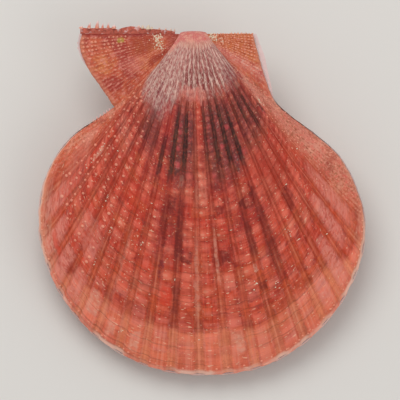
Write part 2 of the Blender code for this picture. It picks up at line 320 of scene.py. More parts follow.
def growth_law():
    """The point of the grown surface at a line and stage, and the direction that stands off it."""
    wanted = [("Stage", "Float", 1.0), ("Share", "Float", 1.0), ("Margin", "Vector", None)]
    wanted += [("Outward", "Vector", None), ("Birth", "Float", 0.0), ("Grown", "Float", 0.0)]
    wanted += [("Wind", "Float", WIND), ("Curl", "Float", CURL)]
    tree, given = new_tree("growth law", wanted, [("Point", "Vector"), ("Off", "Vector")])
    stage, share, margin, outward, birth, grown, wind, curl = given[:8]
    flare = add(tree, "Math POWER", stage, FLARE_POWER)
    direction = add(tree, "Mix", flare, birth, grown, data_type="FLOAT", clamp_factor=False)
    size = add(tree, "VectorMath LENGTH", margin)
    radius = add(tree, "Math MULTIPLY", size, stage)
    youth = add(tree, "Math POWER", add(tree, "Math SUBTRACT", 1.0, stage), UMBO_POWER)
    wide = add(tree, "Math MULTIPLY_ADD", youth, UMBO_SPREAD, radius)
    side = add(tree, "Math MULTIPLY", wide, add(tree, "Math SINE", direction))
    reach = add(tree, "Math MULTIPLY", radius, add(tree, "Math COSINE", direction))
    down = add(tree, "Math MULTIPLY", reach, -1.0)
    power = add(tree, "Math POWER", stage, add(tree, "Math MULTIPLY", curl, -1.0))
    wound = add(tree, "Math DIVIDE", add(tree, "Math SUBTRACT", power, 1.0), curl)
    rate = add(tree, "Math MULTIPLY", wind, share)
    back = add(tree, "Math MULTIPLY", add(tree, "Math MULTIPLY", wound, rate), -1.0)
    flat = add(tree, "CombineXYZ", side, down, 0.0)
    point = add(tree, "VectorRotate", flat, None, back, rotation_type="X_AXIS")

    held = add(tree, "VectorMath DOT_PRODUCT", margin, outward)
    support = add(tree, "Math MAXIMUM", held, add(tree, "Math MULTIPLY", size, LEAST_SUPPORT))
    steep = add(tree, "Math MULTIPLY", rate, power)
    lean = add(tree, "Math DIVIDE", add(tree, "SeparateXYZ", margin).outputs["Y"], support)
    lean = add(tree, "Math MULTIPLY", add(tree, "Math MULTIPLY", lean, steep), -1.0)
    leaning = add(tree, "VectorMath SCALE", outward, Scale=lean)
    off = add(tree, "VectorMath ADD", leaning, (0.0, 0.0, 1.0))
    off = add(tree, "VectorRotate", off, None, back, rotation_type="X_AXIS")
    add(tree, "NodeGroupOutput", point, add(tree, "VectorMath NORMALIZE", off))
    return tree


law_group = growth_law()
print("the growth law has", len(law_group.nodes), "nodes")

# %% [markdown]
# ## The profile across the ribs
#
# A main rib is broad and flat-topped, with steep sides and a flat interspace that is about as
# wide as the rib. A second small group turns a line number into that profile, from 0 in the
# interspace to 1 on the crest. It also gives finer riblets: rows on the ears, threads between
# the ribs, and threads on the rear flank where the main ribs fade out.

# %% Rib profile
RIB_EDGE = (0.25, 0.41)
RIBLETS_PER_LINE = 6.0
FLANK_RIBLET = 0.45
GAP_RIBLET = 0.3
ROW_FLOOR = -0.6


def rib_profile():
    """Main rib and riblets across the lines, each from 0 to 1."""
    wanted = [("Line", "Float", 0.0), ("Strength", "Float", 1.0), ("Disc", "Float", 1.0)]
    tree, given = new_tree("rib profile", wanted, [("Crest", "Float"), ("Riblet", "Float")])
    line, strength, disc = given[:3]
    phase = add(tree, "Math SUBTRACT", line, add(tree, "Math ROUND", line))
    phase = add(tree, "Math ABSOLUTE", phase)
    top = add(tree, "MapRange", phase, *RIB_EDGE, 1.0, 0.0, interpolation_type="SMOOTHSTEP")
    crest = add(tree, "Math MULTIPLY", add(tree, "Math MULTIPLY", top, strength), disc)

    turns = add(tree, "Math MULTIPLY", line, 2 * math.pi)
    row = add(tree, "MapRange", add(tree, "Math COSINE", turns), ROW_FLOOR, 1.0, 0.0, 1.0)
    wave = add(tree, "Math COSINE", add(tree, "Math MULTIPLY", turns, RIBLETS_PER_LINE))
    thread = add(tree, "MapRange", wave, -1.0, 1.0, 0.0, 1.0)
    bare = add(tree, "Math SUBTRACT", 1.0, add(tree, "Math MULTIPLY", top, strength))
    height = add(tree, "Mix", strength, FLANK_RIBLET, GAP_RIBLET, data_type="FLOAT")
    thread = add(tree, "Math MULTIPLY", add(tree, "Math MULTIPLY", thread, bare), height)
    riblet = add(tree, "Mix", disc, row, thread, data_type="FLOAT")
    add(tree, "NodeGroupOutput", crest, riblet)
    return tree


profile_group = rib_profile()
print("the rib profile has", len(profile_group.nodes), "nodes")

# %% [markdown]
# ## The outside and how the shell lies
#
# The outside of a valve is the growth surface, raised by the wall, by the ribs and riblets, and
# by low steps where growth paused. Each rib swells into low knots 2 to 3 mm apart. The outside is
# a group of its own, because the beads that come later must stand on exactly this surface. A
# second group lays a point down as the closed shell rests: on the belly of the right valve, with
# the hinge a little higher than the margin.

# %% Surface and resting pose
HALF_SEAM = 0.15 * MM
WALL = 0.7 * MM
RIM_WALL = 0.3 * MM
RIM_FROM = 0.982
RIB_HEIGHT = 0.9 * MM
RIB_HEIGHT_POWER = 0.75
KNOTS_PER_RIB = 61.0
KNOT_POWER = 0.42
KNOT_JITTER = 0.45
KNOT_DEPTH = 0.3
KNOT_SLOPE = (0.2, 0.6)
RIBLET_HEIGHT = 0.17 * MM
GROWTH_STEP = 0.1 * MM
GROWTH_STEPS_PER_SHELL = 16.0
GROWTH_STEPS_PER_LINE = 0.15
REST_TURN = Euler((math.radians(9.4), math.radians(-0.6), 0.0))
BEAK_AT = Vector((-2.35, 40.64, 19.36)) * MM
LINE_FACTS = ("margin", "outward", "birth", "grown", "line", "disc", "share", "strength")
VECTOR_FACTS = ("margin", "outward", "size")


def stage_cells(tree, line, stage):
    """A cell for each knot: one rib wide, longer as the shell grows, and a little irregular."""
    along = add(tree, "Math POWER", stage, KNOT_POWER)
    along = add(tree, "Math MULTIPLY", along, KNOTS_PER_RIB)
    where = add(tree, "CombineXYZ", add(tree, "Math ADD", line, 0.5), along, 0.0)
    return add(tree, "TexVoronoi", where, voronoi_dimensions="2D", Scale=1.0, Randomness=KNOT_JITTER)


def outer_surface():
    """The outside of a valve: the growth surface raised by wall, ribs, riblets and steps."""
    wanted = [("Stage", "Float", 1.0), ("Rib Shift", "Float", 0.0)]
    wanted += [("Rib Height", "Float", RIB_HEIGHT), ("Wall", "Float", WALL)]
    for name in LINE_FACTS:
        wanted.append((name.capitalize(), "Vector" if name in VECTOR_FACTS else "Float", None))
    outputs = [("Point", "Vector"), ("Off", "Vector"), ("Crest", "Float"), ("Riblet", "Float")]
    tree, given = new_tree("outer surface", wanted, outputs)
    stage, line = given["Stage"], given["Line"]
    law_inputs = {n: given[n] for n in ("Stage", "Share", "Margin", "Outward", "Birth", "Grown")}
    point, off = add(tree, "Group", node_tree=law_group, **law_inputs).outputs
    shifted = add(tree, "Math SUBTRACT", line, given["Rib Shift"])
    ribbed = {"Line": shifted, "Strength": given["Strength"], "Disc": given["Disc"]}
    crest, riblet = add(tree, "Group", node_tree=profile_group, **ribbed).outputs

    knots = stage_cells(tree, shifted, stage)
    knots = add(tree, "MapRange", knots, *KNOT_SLOPE, 1.0, 1 - KNOT_DEPTH)
    rise = add(tree, "Math POWER", stage, RIB_HEIGHT_POWER)
    rise = add(tree, "Math MULTIPLY", rise, knots)
    rise = add(tree, "Math MULTIPLY", rise, given["Rib Height"])
    relief = add(tree, "Math MULTIPLY", rise, crest)
    fine = add(tree, "Math MULTIPLY", add(tree, "Math MULTIPLY", riblet, stage), RIBLET_HEIGHT)
    relief = add(tree, "Math ADD", relief, fine)
    seasons = add(tree, "Math MULTIPLY", stage, GROWTH_STEPS_PER_SHELL)
    across = add(tree, "Math MULTIPLY", line, GROWTH_STEPS_PER_LINE)
    where = add(tree, "CombineXYZ", seasons, across, 0.0)
    steps = add(tree, "TexNoise", where, 1.0, 3.0, 0.6, noise_dimensions="2D", normalize=False)
    steps = add(tree, "Math MULTIPLY", steps, add(tree, "Math SQRT", stage))
    relief = add(tree, "Math MULTIPLY_ADD", steps, GROWTH_STEP, relief)
    rim = add(tree, "MapRange", stage, RIM_FROM, 1.0, 1.0, RIM_WALL / WALL)
    lift = add(tree, "Math MULTIPLY_ADD", given["Wall"], rim, HALF_SEAM)
    raised = add(tree, "VectorMath ADD", add(tree, "VectorMath SCALE", off, Scale=relief), point)
    raised = add(tree, "VectorMath ADD", raised, add(tree, "CombineXYZ", 0.0, 0.0, lift))
    add(tree, "NodeGroupOutput", raised, off, crest, riblet)
    return tree


def laid_down():
    """From the shell's own frame to where it rests. The right valve is below the seam: Side -1."""
    wanted = [("Point", "Vector", None), ("Side", "Float", 1.0)]
    tree, given = new_tree("laid down", wanted, [("Point", "Vector")])
    mirror = add(tree, "CombineXYZ", 1.0, 1.0, given["Side"])
    placed = add(tree, "VectorMath MULTIPLY", given["Point"], mirror)
    turned = add(tree, "VectorRotate", placed, None, REST_TURN, rotation_type="EULER_XYZ")
    laid = add(tree, "VectorMath ADD", turned, BEAK_AT)
    above = add(tree, "VectorMath MAXIMUM", laid, cad_low)
    add(tree, "NodeGroupOutput", add(tree, "VectorMath MINIMUM", above, cad_high))
    return tree


surface_group = outer_surface()
lay_group = laid_down()
print("the outer surface has", len(surface_group.nodes), "nodes")

# %% [markdown]
# ## A valve from a bent cylinder
#
# A valve is a closed skin: the outside, the rim, and the inside back to the hinge. A cylinder
# has the same plan when each of its rings becomes one growth line, running out over the outside
# and back along the inside, and its two end caps become the straight hinge edges of the ears. So
# the tree starts from a plain cylinder, reads ring and place from each point's index, and moves
# every point by the growth law. The skin is closed from the start, with no edges to sew.

# %% Valve tree
FIRST_STAGE = 0.008
OUTER_ROWS = 160
ROWS = 184
ROW_CROWDING = 1.12
INNER_WIND_SHARE = 0.93
HINGE_HALF_GAP = 0.42 * MM
HINGE_BAND = (2.6 * MM, 4.6 * MM)
HINGE_PLATE_STAGES = (0.02, 0.08)
SEAM_WAVE = 0.2 * MM
SEAM_WAVE_POWER = 4.0
SHARP_EDGE = math.radians(50)


def read_fact(tree, name):
    """A fact of the host's point, a vector or a number."""
    kind = "FLOAT_VECTOR" if name in VECTOR_FACTS else "FLOAT"
    return add(tree, "InputNamedAttribute", name, data_type=kind)


def sampled_facts(tree, host, index, names):
    """The facts of one growth line, read from the host's points by index."""
    fact = {}
    for name in names:
        kind = "FLOAT_VECTOR" if name in VECTOR_FACTS else "FLOAT"
        stored = read_fact(tree, name)
        fact[name.capitalize()] = add(tree, "SampleIndex", host, stored, index, data_type=kind)
    return fact


def rings_and_rows(tree, rings, rows):
    """A closed tube, with the ring and the place on the ring of each of its points."""
    spans = add(tree, "Math SUBTRACT", rings, 1.0)
    tube = add(tree, "MeshCylinder", rows, spans, fill_type="NGON")
    index = add(tree, "InputIndex")
    ring = add(tree, "Math FLOOR", add(tree, "Math DIVIDE", index, rows))
    return tube, ring, add(tree, "Math MODULO", index, rows)


def out_and_back(tree, row, rows, outer_rows):
    """Way from 0 to 1 going out over the outer rows and back over the rest, and which it is."""
    last_outer = add(tree, "Math SUBTRACT", outer_rows, 1.0)
    going_out = add(tree, "Math DIVIDE", row, last_outer)
    last_row = add(tree, "Math SUBTRACT", rows, 1.0)
    inner_spans = add(tree, "Math SUBTRACT", last_row, outer_rows)
    left_to_go = add(tree, "Math SUBTRACT", last_row, row)
    coming_back = add(tree, "Math DIVIDE", left_to_go, inner_spans)
    inside = add(tree, "Compare GREATER_THAN", row, last_outer)
    return add(tree, "Switch", inside, going_out, coming_back, input_type="FLOAT"), inside


def finished(tree, mesh, material, **attributes):
    """Stores the attributes that the finish reads, keeps real corners sharp, sets the material."""
    for name, source in attributes.items():
        mesh = add(tree, "StoreNamedAttribute", mesh, None, name, source)
    mesh = add(tree, "SetShadeSmooth", mesh)
    corner = add(tree, "InputMeshEdgeAngle").outputs["Unsigned Angle"]
    sharp = add(tree, "Compare GREATER_THAN", corner, SHARP_EDGE)
    mesh = add(tree, "SetShadeSmooth", mesh, sharp, False, domain="EDGE")
    mesh = add(tree, "SetMaterial", add(tree, "RealizeInstances", mesh), None, material)
    add(tree, "NodeGroupOutput", mesh)
    return tree


def valve_tree():
    """A whole valve: the tube's outer rows out over the outside, the others back inside."""
    wanted = [("Host", "Geometry", None), ("Columns", "Int", COLUMNS), ("Rows", "Int", ROWS)]
    wanted += [("Outer Rows", "Int", OUTER_ROWS), ("Side", "Float", 1.0)]
    wanted += [("Rib Shift", "Float", 0.0), ("Rib Height", "Float", RIB_HEIGHT)]
    wanted += [("Wall", "Float", WALL), ("Material", "Material", None)]
    tree, given = new_tree("grown valve", wanted, [("Geometry", "Geometry")])
    tube, ring, row = rings_and_rows(tree, given["Columns"], given["Rows"])
    fact = sampled_facts(tree, given["Host"], ring, LINE_FACTS)
    way, inside = out_and_back(tree, row, given["Rows"], given["Outer Rows"])
    way = add(tree, "Math POWER", way, ROW_CROWDING)
    fact["Stage"] = stage = add(tree, "MapRange", way, 0.0, 1.0, FIRST_STAGE, 1.0)
    shape = {name: given[name] for name in ("Rib Shift", "Rib Height", "Wall")}
    outer, _, crest, riblet = add(tree, "Group", node_tree=surface_group, **fact, **shape).outputs

    # The inside turns up less and ends on a flat hinge plate. The margins interlock as ribs do.
    smooth = {"interpolation_type": "SMOOTHSTEP"}
    plate = add(tree, "MapRange", stage, *HINGE_PLATE_STAGES, 0.0, INNER_WIND_SHARE, **smooth)
    law_inputs = {n: fact[n] for n in ("Stage", "Margin", "Outward", "Birth", "Grown")}
    law_inputs["Share"] = add(tree, "Math MULTIPLY", plate, fact["Share"])
    point = add(tree, "Group", node_tree=law_group, **law_inputs).outputs["Point"]
    doubled = add(tree, "Math MULTIPLY", crest, 2.0)
    wave = add(tree, "Math SUBTRACT", doubled, fact["Strength"])
    wave = add(tree, "Math MULTIPLY", wave, add(tree, "Math POWER", stage, SEAM_WAVE_POWER))
    from_hinge = add(tree, "SeparateXYZ", point).outputs["Y"]
    near, far = HINGE_BAND
    gaps = (-far, -near, HALF_SEAM, HINGE_HALF_GAP)
    seam = add(tree, "MapRange", from_hinge, *gaps, **smooth)
    lift = add(tree, "Math MULTIPLY_ADD", wave, SEAM_WAVE, seam)
    inner = add(tree, "VectorMath ADD", point, add(tree, "CombineXYZ", 0.0, 0.0, lift))
    placed = add(tree, "Switch", inside, outer, inner, input_type="VECTOR")
    laid = add(tree, "Group", node_tree=lay_group, Point=placed, Side=given["Side"])
    mesh = add(tree, "SetPosition", tube, None, laid)
    upper = add(tree, "Compare GREATER_THAN", given["Side"], 0.0)
    mesh = add(tree, "Switch", upper, add(tree, "FlipFaces", mesh), mesh, input_type="GEOMETRY")
    line = add(tree, "Math SUBTRACT", fact["Line"], given["Rib Shift"])
    facts = {"line": line, "stage": stage, "crest": crest, "riblet": riblet}
    facts |= {"disc": fact["Disc"], "outside": add(tree, "Math SUBTRACT", 1.0, inside)}
    return finished(tree, mesh, given["Material"], **facts)


valve_group = valve_tree()
print("the valve tree has", len(valve_group.nodes), "nodes")

# %% [markdown]
# ## The fold and its spines
#
# Along the front half of its hinge the right valve is folded up past the hinge line, and the
# fold shows behind the left valve with a row of five short spines. The fold could be a swept
# profile, but its height changes all the way, so it is another tube: the rings run along the
# hinge and each reads its own height.

# %% Fold tree
# Place along the hinge and height of the fold's crest, in mm.
FOLD_HEIGHTS = [
    (-28.2, 1.35), (-27.6, 1.6), (-26.6, 1.45), (-25.0, 1.45), (-22.0, 1.5), (-20.0, 1.55),
    (-18.8, 1.1), (-17.6, 1.55), (-15.6, 1.95), (-13.8, 1.75), (-12.0, 1.35), (-10.0, 1.25),
    (-8.0, 1.1), (-6.0, 0.9), (-4.5, 0.7),
]
FOLD_STATIONS = 110
FOLD_ROWS = 36
FOLD_THICKNESS = 0.4 * MM
FOLD_ROOT = (-0.7 * MM, -0.635 * MM)
FOLD_RISE = 0.65 * MM
FOLD_RISES_FROM = (0.7, 1.2)
FOLD_OUT_POWER = 0.8
FOLD_UP_POWER = 2.5
FOLD_EDGE_SHARE = 0.35
FOLD_RELIEF = 0.1 * MM
FOLD_LUMP = 1.1 * MM
FOLD_THINS_FROM = 0.75


def fold_tree():
    """The fold: a tube whose rings run along the hinge, out and up and back down."""
    wanted = [("Host", "Geometry", None), ("Stations", "Int", FOLD_STATIONS)]
    wanted += [("Rows", "Int", FOLD_ROWS), ("Thickness", "Float", FOLD_THICKNESS)]
    wanted += [("Material", "Material", None)]
    tree, given = new_tree("hinge fold", wanted, [("Geometry", "Geometry")])
    tube, ring, row = rings_and_rows(tree, given["Stations"], given["Rows"])
    fact = sampled_facts(tree, given["Host"], ring, ("line", "along", "height", "rise"))
    outer_rows = add(tree, "Math MULTIPLY", given["Rows"], 0.5)
    way, inside = out_and_back(tree, row, given["Rows"], outer_rows)
    root_y, root_z = FOLD_ROOT
    reach = add(tree, "Math SUBTRACT", fact["Height"], root_y)
    out = add(tree, "Math POWER", way, FOLD_OUT_POWER)
    out = add(tree, "Math MULTIPLY_ADD", out, reach, root_y)
    up = add(tree, "Math POWER", way, FOLD_UP_POWER)
    up = add(tree, "Math MULTIPLY_ADD", up, fact["Rise"], root_z)
    edge = add(tree, "MapRange", way, FOLD_THINS_FROM, 1.0, 0.5, FOLD_EDGE_SHARE / 2)
    side = add(tree, "Switch", inside, 1.0, -1.0, input_type="FLOAT")
    half = add(tree, "Math MULTIPLY", add(tree, "Math MULTIPLY", edge, side), given["Thickness"])
    where = add(tree, "CombineXYZ", fact["Along"], out, 0.0)
    lumps = add(tree, "TexNoise", where, 1 / FOLD_LUMP, 3.0, 0.6, normalize=False)
    outside = add(tree, "Math SUBTRACT", 1.0, inside)
    lumps = add(tree, "Math MULTIPLY", add(tree, "Math MULTIPLY", lumps, outside), FOLD_RELIEF)
    up = add(tree, "Math ADD", add(tree, "Math ADD", up, half), lumps)
    place = add(tree, "CombineXYZ", fact["Along"], out, up)
    mesh = add(tree, "SetPosition", tube, None, add(tree, "Group", node_tree=lay_group, Point=place))
    facts = {"line": fact["Line"], "stage": way, "crest": 0.0, "riblet": 0.3, "disc": 0.0}
    return finished(tree, mesh, given["Material"], **facts, outside=1.0, fold=1.0)


# %% [markdown]
# ## Spines and nodules
#
# The five spines are cones bent toward the front, each with its own length, and the rest of the
# fold's crest and the rear half of the hinge carry small blunt nodules. They are all the same
# thing at different sizes, so one cone is instanced on a point for each, with the sizes as
# attributes of the points.

# %% Spine tree
# Place along the hinge, length, width at the foot, in mm, and how much lime crust covers it.
SPINES = [
    (-28.0, 0.3, 1.1, 0.2), (-26.0, 1.2, 0.9, 0), (-24.0, 1.75, 1.05, 0), (-22.6, 0.95, 0.65, 0),
    (-21.2, 1.05, 0.75, 0), (-19.8, 0.45, 1.3, 0.1), (-13.6, 0.15, 0.7, 0.2),
    (-12.6, 0.4, 0.9, 0.8), (-11.2, 0.6, 1.2, 1), (-10.3, 0.25, 0.7, 0.9), (-8.4, 0.25, 0.5, 0.3),
    (-6.8, 0.25, 0.5, 0.3), (-5.5, 0.25, 0.5, 0.6), (-4.6, 0.25, 0.45, 0.5),
]
HINGE_TEETH = [
    (9.6, 0.35, 0.5, 0.8), (10.4, 0.25, 0.4, 0.5), (11.3, 0.35, 0.45, 0.6), (12.2, 0.3, 0.4, 0.5),
    (13.2, 0.3, 0.45, 0.6),
]
FAN_CENTRE = -22.8
FAN_DEG = 8.0
SPINE_TAPER_POWER = 0.65
SPINE_ROOT = 0.4 * MM
SPINE_LEAN = math.radians(-72)
SPINE_BEND = 0.22
SPINE_SIDES = 16
SPINE_SEGMENTS = 12
# How far past the tip the taper reaches nothing, so that the tip stays a little blunt.
SPINE_TIP = 1.01


def spine_tree():
    """A bent cone on every point of the host, in the sizes and directions that the point gives."""
    wanted = [("Host", "Geometry", None), ("Root", "Float", SPINE_ROOT)]
    wanted += [("Lean", "Float", SPINE_LEAN), ("Bend", "Float", SPINE_BEND)]
    wanted += [("Material", "Material", None)]
    tree, given = new_tree("hinge spines", wanted, [("Geometry", "Geometry")])
    cone = add(tree, "MeshCone", SPINE_SIDES, SPINE_SEGMENTS, 1, 0.5, 0.5, 1.0)
    here = add(tree, "InputPosition")
    height = add(tree, "SeparateXYZ", here).outputs["Z"]
    left = add(tree, "Math SUBTRACT", SPINE_TIP, height)
    taper = add(tree, "Math POWER", left, SPINE_TAPER_POWER)
    narrow = add(tree, "VectorMath MULTIPLY", here, add(tree, "CombineXYZ", taper, taper, 1.0))
    curve = add(tree, "Math MULTIPLY", add(tree, "Math POWER", height, 2.0), given["Bend"])
    aside = add(tree, "CombineXYZ", curve, 0.0, 0.0)
    bent = add(tree, "SetPosition", cone, None, add(tree, "VectorMath ADD", narrow, aside))
    bent = add(tree, "StoreNamedAttribute", bent, None, "stage", height)
    length, width = read_fact(tree, "length"), read_fact(tree, "width")
    full = add(tree, "Math ADD", length, given["Root"])
    size = add(tree, "CombineXYZ", width, width, full)
    turn = add(tree, "CombineXYZ", given["Lean"], 0.0, read_fact(tree, "fan"))
    copies = add(tree, "InstanceOnPoints", given["Host"], None, bent, None, None, turn, size)
    solid = add(tree, "RealizeInstances", copies)
    laid = add(tree, "Group", node_tree=lay_group, Point=add(tree, "InputPosition"))
    mesh = add(tree, "SetPosition", solid, None, laid)
    facts = {"crest": 0.0, "riblet": 1.0, "disc": 0.0, "outside": 1.0, "fold": 1.0}
    return finished(tree, mesh, given["Material"], **facts)


# %% [markdown]
# ## Beads, scales and crusts
#
# The ribs near the shoulders and the rows on the ears end in small beads, the middle ribs carry
# low knobs, and worms and weed have left specks of lime here and there. Each is one flattened
# sphere on a point that has a line and a stage like any point of the shell, so it stands on the
# grown surface, square to it and pointing to the margin.

# %% Bead tree
BEAD_SEGMENTS = 12
BEAD_RINGS = 7
AHEAD = 0.004


def bead_tree():
    """A flattened sphere on the grown surface for every point of the host."""
    wanted = [("Host", "Geometry", None), ("Side", "Float", 1.0), ("Rib Shift", "Float", 0.0)]
    wanted += [("Segments", "Int", BEAD_SEGMENTS), ("Rings", "Int", BEAD_RINGS)]
    wanted += [("Material", "Material", None)]
    tree, given = new_tree("shell beads", wanted, [("Geometry", "Geometry")])
    stage = read_fact(tree, "stage")
    fact = {name.capitalize(): read_fact(tree, name) for name in LINE_FACTS}
    fact["Rib Shift"] = given["Rib Shift"]
    point, off, crest, riblet = add(tree, "Group", node_tree=surface_group, Stage=stage, **fact).outputs
    later = add(tree, "Math ADD", stage, AHEAD)
    next_point = add(tree, "Group", node_tree=surface_group, Stage=later, **fact).outputs["Point"]
    raised = add(tree, "VectorMath ADD", point, add(tree, "VectorMath SCALE", off, Scale=MM))
    here, above, ahead = [
        add(tree, "Group", node_tree=lay_group, Point=place, Side=given["Side"])
        for place in (point, raised, next_point)
    ]
    up = add(tree, "VectorMath SUBTRACT", above, here)
    forward = add(tree, "VectorMath SUBTRACT", ahead, here)
    turn = add(tree, "AxesToRotation", up, forward, primary_axis="Z", secondary_axis="Y")
    bead = add(tree, "MeshUVSphere", given["Segments"], given["Rings"], 0.5)
    placed = add(tree, "SetPosition", given["Host"], None, here)
    size = read_fact(tree, "size")
    copies = add(tree, "InstanceOnPoints", placed, None, bead, None, None, turn, size)
    facts = {"crest": 1.0, "riblet": 0.3, "outside": 1.0}
    return finished(tree, add(tree, "RealizeInstances", copies), given["Material"], **facts)


# %% [markdown]
# ## From tree to plain mesh
#
# The exported model needs plain meshes, so each tree runs once on its host and its result
# replaces it. Inputs are set by their sockets' identifiers, because two sockets may share a name.

# %% Run a tree
def grow(name, node, tree, facts, **values):
    """Runs a tree on a host made from these facts and keeps the result as a plain mesh object."""
    host = host_object(name + "_host", facts)
    modifier = host.modifiers.new("growth", "NODES")
    modifier.node_group = tree
    sockets = {s.name: s.identifier for s in tree.interface.items_tree if s.in_out == "INPUT"}
    for key, value in values.items():
        modifier[sockets[key.replace("_", " ")]] = value
    graph = bpy.context.evaluated_depsgraph_get()
    mesh = bpy.data.meshes.new_from_object(host.evaluated_get(graph), depsgraph=graph)
    mesh.name = name
    made = bpy.data.objects.new(name, mesh)
    bpy.context.scene.collection.objects.link(made)
    bpy.data.objects.remove(host, do_unlink=True)
    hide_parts(node)
    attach(made, "root")
    triangles = sum(len(p.vertices) - 2 for p in mesh.polygons)
    print(f"{name}: {len(mesh.vertices)} points, {triangles} triangles")
    return made


# %% [markdown]
# ## Painting with growth lines and stages
#
# A scallop's colour is laid down at the margin too, so it is made of streaks along the ribs and
# bars across them. The shell's paint works on a flat map of the valve: across it runs the line
# number, up it the growth in millimetres along the middle of the shell. On that map a bar is a
# noise squeezed in one direction, a thread is one squeezed in the other, and a patch is a
# rounded rectangle with a ragged edge.

# %% The map of the valve
def cover(tree, *limits):
    """How much of a coat lies at a point, 0 to 1: all of its limits multiplied.

    A limit is a value, or a value with the two levels between which the coat comes in. Two more
    numbers say what it comes in from and up to, where that isn't 0 and 1.
    """
    total = None
    for limit in limits:
        if isinstance(limit, tuple):
            value, start, full, *ends = limit
            span = (start, full, *(ends or (0.0, 1.0)))
            limit = add(tree, "MapRange", value, *span, interpolation_type="SMOOTHSTEP")
        total = limit if total is None else add(tree, "Math MULTIPLY", total, limit)
    return total


def map_noise(tree, place, lines, millimetres, detail=2.0, roughness=0.5):
    """Noise on the map whose grains are this many lines wide and this many mm of growth long."""
    scale = (1 / lines, 1 / millimetres, 1.0)
    squeezed = add(tree, "VectorMath MULTIPLY", place, scale)
    return add(tree, "TexNoise", squeezed, 1.0, detail, roughness, noise_dimensions="2D")


def shell_map(tree):
    """The attributes of a valve as shader nodes, with its map and the patterns that all share."""
    names = ("line", "stage", "crest", "riblet", "disc", "outside", "lime", "fold")
    fact = {n: add(tree, "Attribute", attribute_name=n).outputs["Fac"] for n in names}
    growth = add(tree, "Math MULTIPLY", fact["stage"], SHELL_HEIGHT_MM)
    fact["map"] = add(tree, "CombineXYZ", fact["line"], growth, 0.0)
    fact["place"] = add(tree, "TexCoord").outputs["Object"]

    # The ragged map is the map moved by up to 0.12 lines and 2.5 mm either way.
    lobes = map_noise(tree, fact["map"], 0.5, 2.5, 2.0, 0.45).outputs["Color"]
    start = add(tree, "VectorMath ADD", fact["map"], (-0.12, -2.5, 0.0))
    fact["ragged"] = add(tree, "VectorMath MULTIPLY_ADD", lobes, (0.24, 5.0, 0.0), start)

    # A rib's edges waver, so its crest and its place across the rib are taken unevenly.
    rough = map_noise(tree, fact["map"], 0.28, 1.5, 2.0, 0.55)
    uneven = add(tree, "Math MULTIPLY_ADD", rough, 1.6, add(tree, "Math ADD", fact["crest"], -0.8))
    fact["on_rib"] = cover(tree, (uneven, 0.3, 0.75))
    phase = add(tree, "Math SUBTRACT", fact["line"], add(tree, "Math ROUND", fact["line"]))
    phase = add(tree, "Math ADD", add(tree, "Math ABSOLUTE", phase), -0.2)
    phase = add(tree, "Math MULTIPLY_ADD", rough, 0.4, phase)
    fact["middle"] = cover(tree, (phase, 0.32, 0.08))
    ribbed = [(fact["line"], -11.0, -8.5), (fact["line"], 9.5, 7.5), fact["disc"]]
    # The walls of the ribs: partly fine brown dots, partly painted shade.
    fact["sides"] = cover(tree, (phase, 0.24, 0.33), (phase, 0.44, 0.36), *ribbed)

    # Each knot has a middle, a bright pip on the younger shell that is partly a pale tip and partly a
    # painted glint, and three values of its own.
    cells = stage_cells(tree, fact["line"], fact["stage"])
    from_knot = cells.outputs["Distance"]
    fact["knot"] = cover(tree, (from_knot, 0.55, 0.15))
    fact["pip"] = cover(tree, (from_knot, 0.17, 0.07), (fact["stage"], 0.9, 0.45, 0.2, 1.0))
    fact["own"] = add(tree, "SeparateXYZ", cells.outputs["Color"]).outputs
    return fact


# %% [markdown]
# ## Patches
#
# The brown-black blotches lie in one belt, laid down over one season, with smaller marks after
# it. Pale, red and mauve patches lie between them. Each is written as the lines and stages that
# it covers and its strength. A ragged edge comes from a noise that moves the map itself before
# the patches are read, because each bit of margin changes colour in its own time.

# %% Patch lists for the left valve
# First and last line, first and last stage, strength on the scale 0 to 1.
DARK_BLOTCHES = [
    (-6.6, -4.2, 0.31, 0.42, 0.4), (-6.4, -5.1, 0.33, 0.42, 0.55), (-4.6, -4.3, 0.34, 0.4, 0.4),
    (-3.75, -3.3, 0.37, 0.46, 0.7), (-2.9, -0.6, 0.26, 0.47, 0.65),
    (-2.75, -2.25, 0.27, 0.47, 0.95), (-2.3, -1.7, 0.28, 0.37, 0.75),
    (-2.3, -1.7, 0.39, 0.445, 0.9), (-1.75, -1.15, 0.265, 0.445, 1.0),
    (-1.2, -0.7, 0.27, 0.41, 0.75), (0.4, 0.75, 0.25, 0.42, 0.75), (0.4, 3.9, 0.24, 0.48, 0.7),
    (0.7, 1.3, 0.27, 0.4, 0.7), (1.25, 1.75, 0.24, 0.43, 0.9), (1.7, 2.25, 0.25, 0.33, 0.8),
    (1.7, 2.25, 0.36, 0.43, 0.8), (2.2, 2.75, 0.235, 0.445, 1.0), (2.7, 3.25, 0.27, 0.37, 0.85),
    (2.7, 3.25, 0.385, 0.455, 1.0), (3.2, 3.75, 0.265, 0.46, 1.0), (3.7, 4.3, 0.28, 0.34, 0.6),
    (4.2, 7.5, 0.25, 0.44, 0.5), (4.3, 4.7, 0.28, 0.36, 0.6), (5.15, 5.65, 0.27, 0.38, 0.9),
    (5.6, 6.2, 0.36, 0.4, 0.5), (5.6, 6.25, 0.28, 0.34, 0.75), (6.2, 6.75, 0.27, 0.43, 0.85),
    (6.8, 7.45, 0.29, 0.43, 0.6), (7.9, 8.3, 0.37, 0.43, 0.75),
]
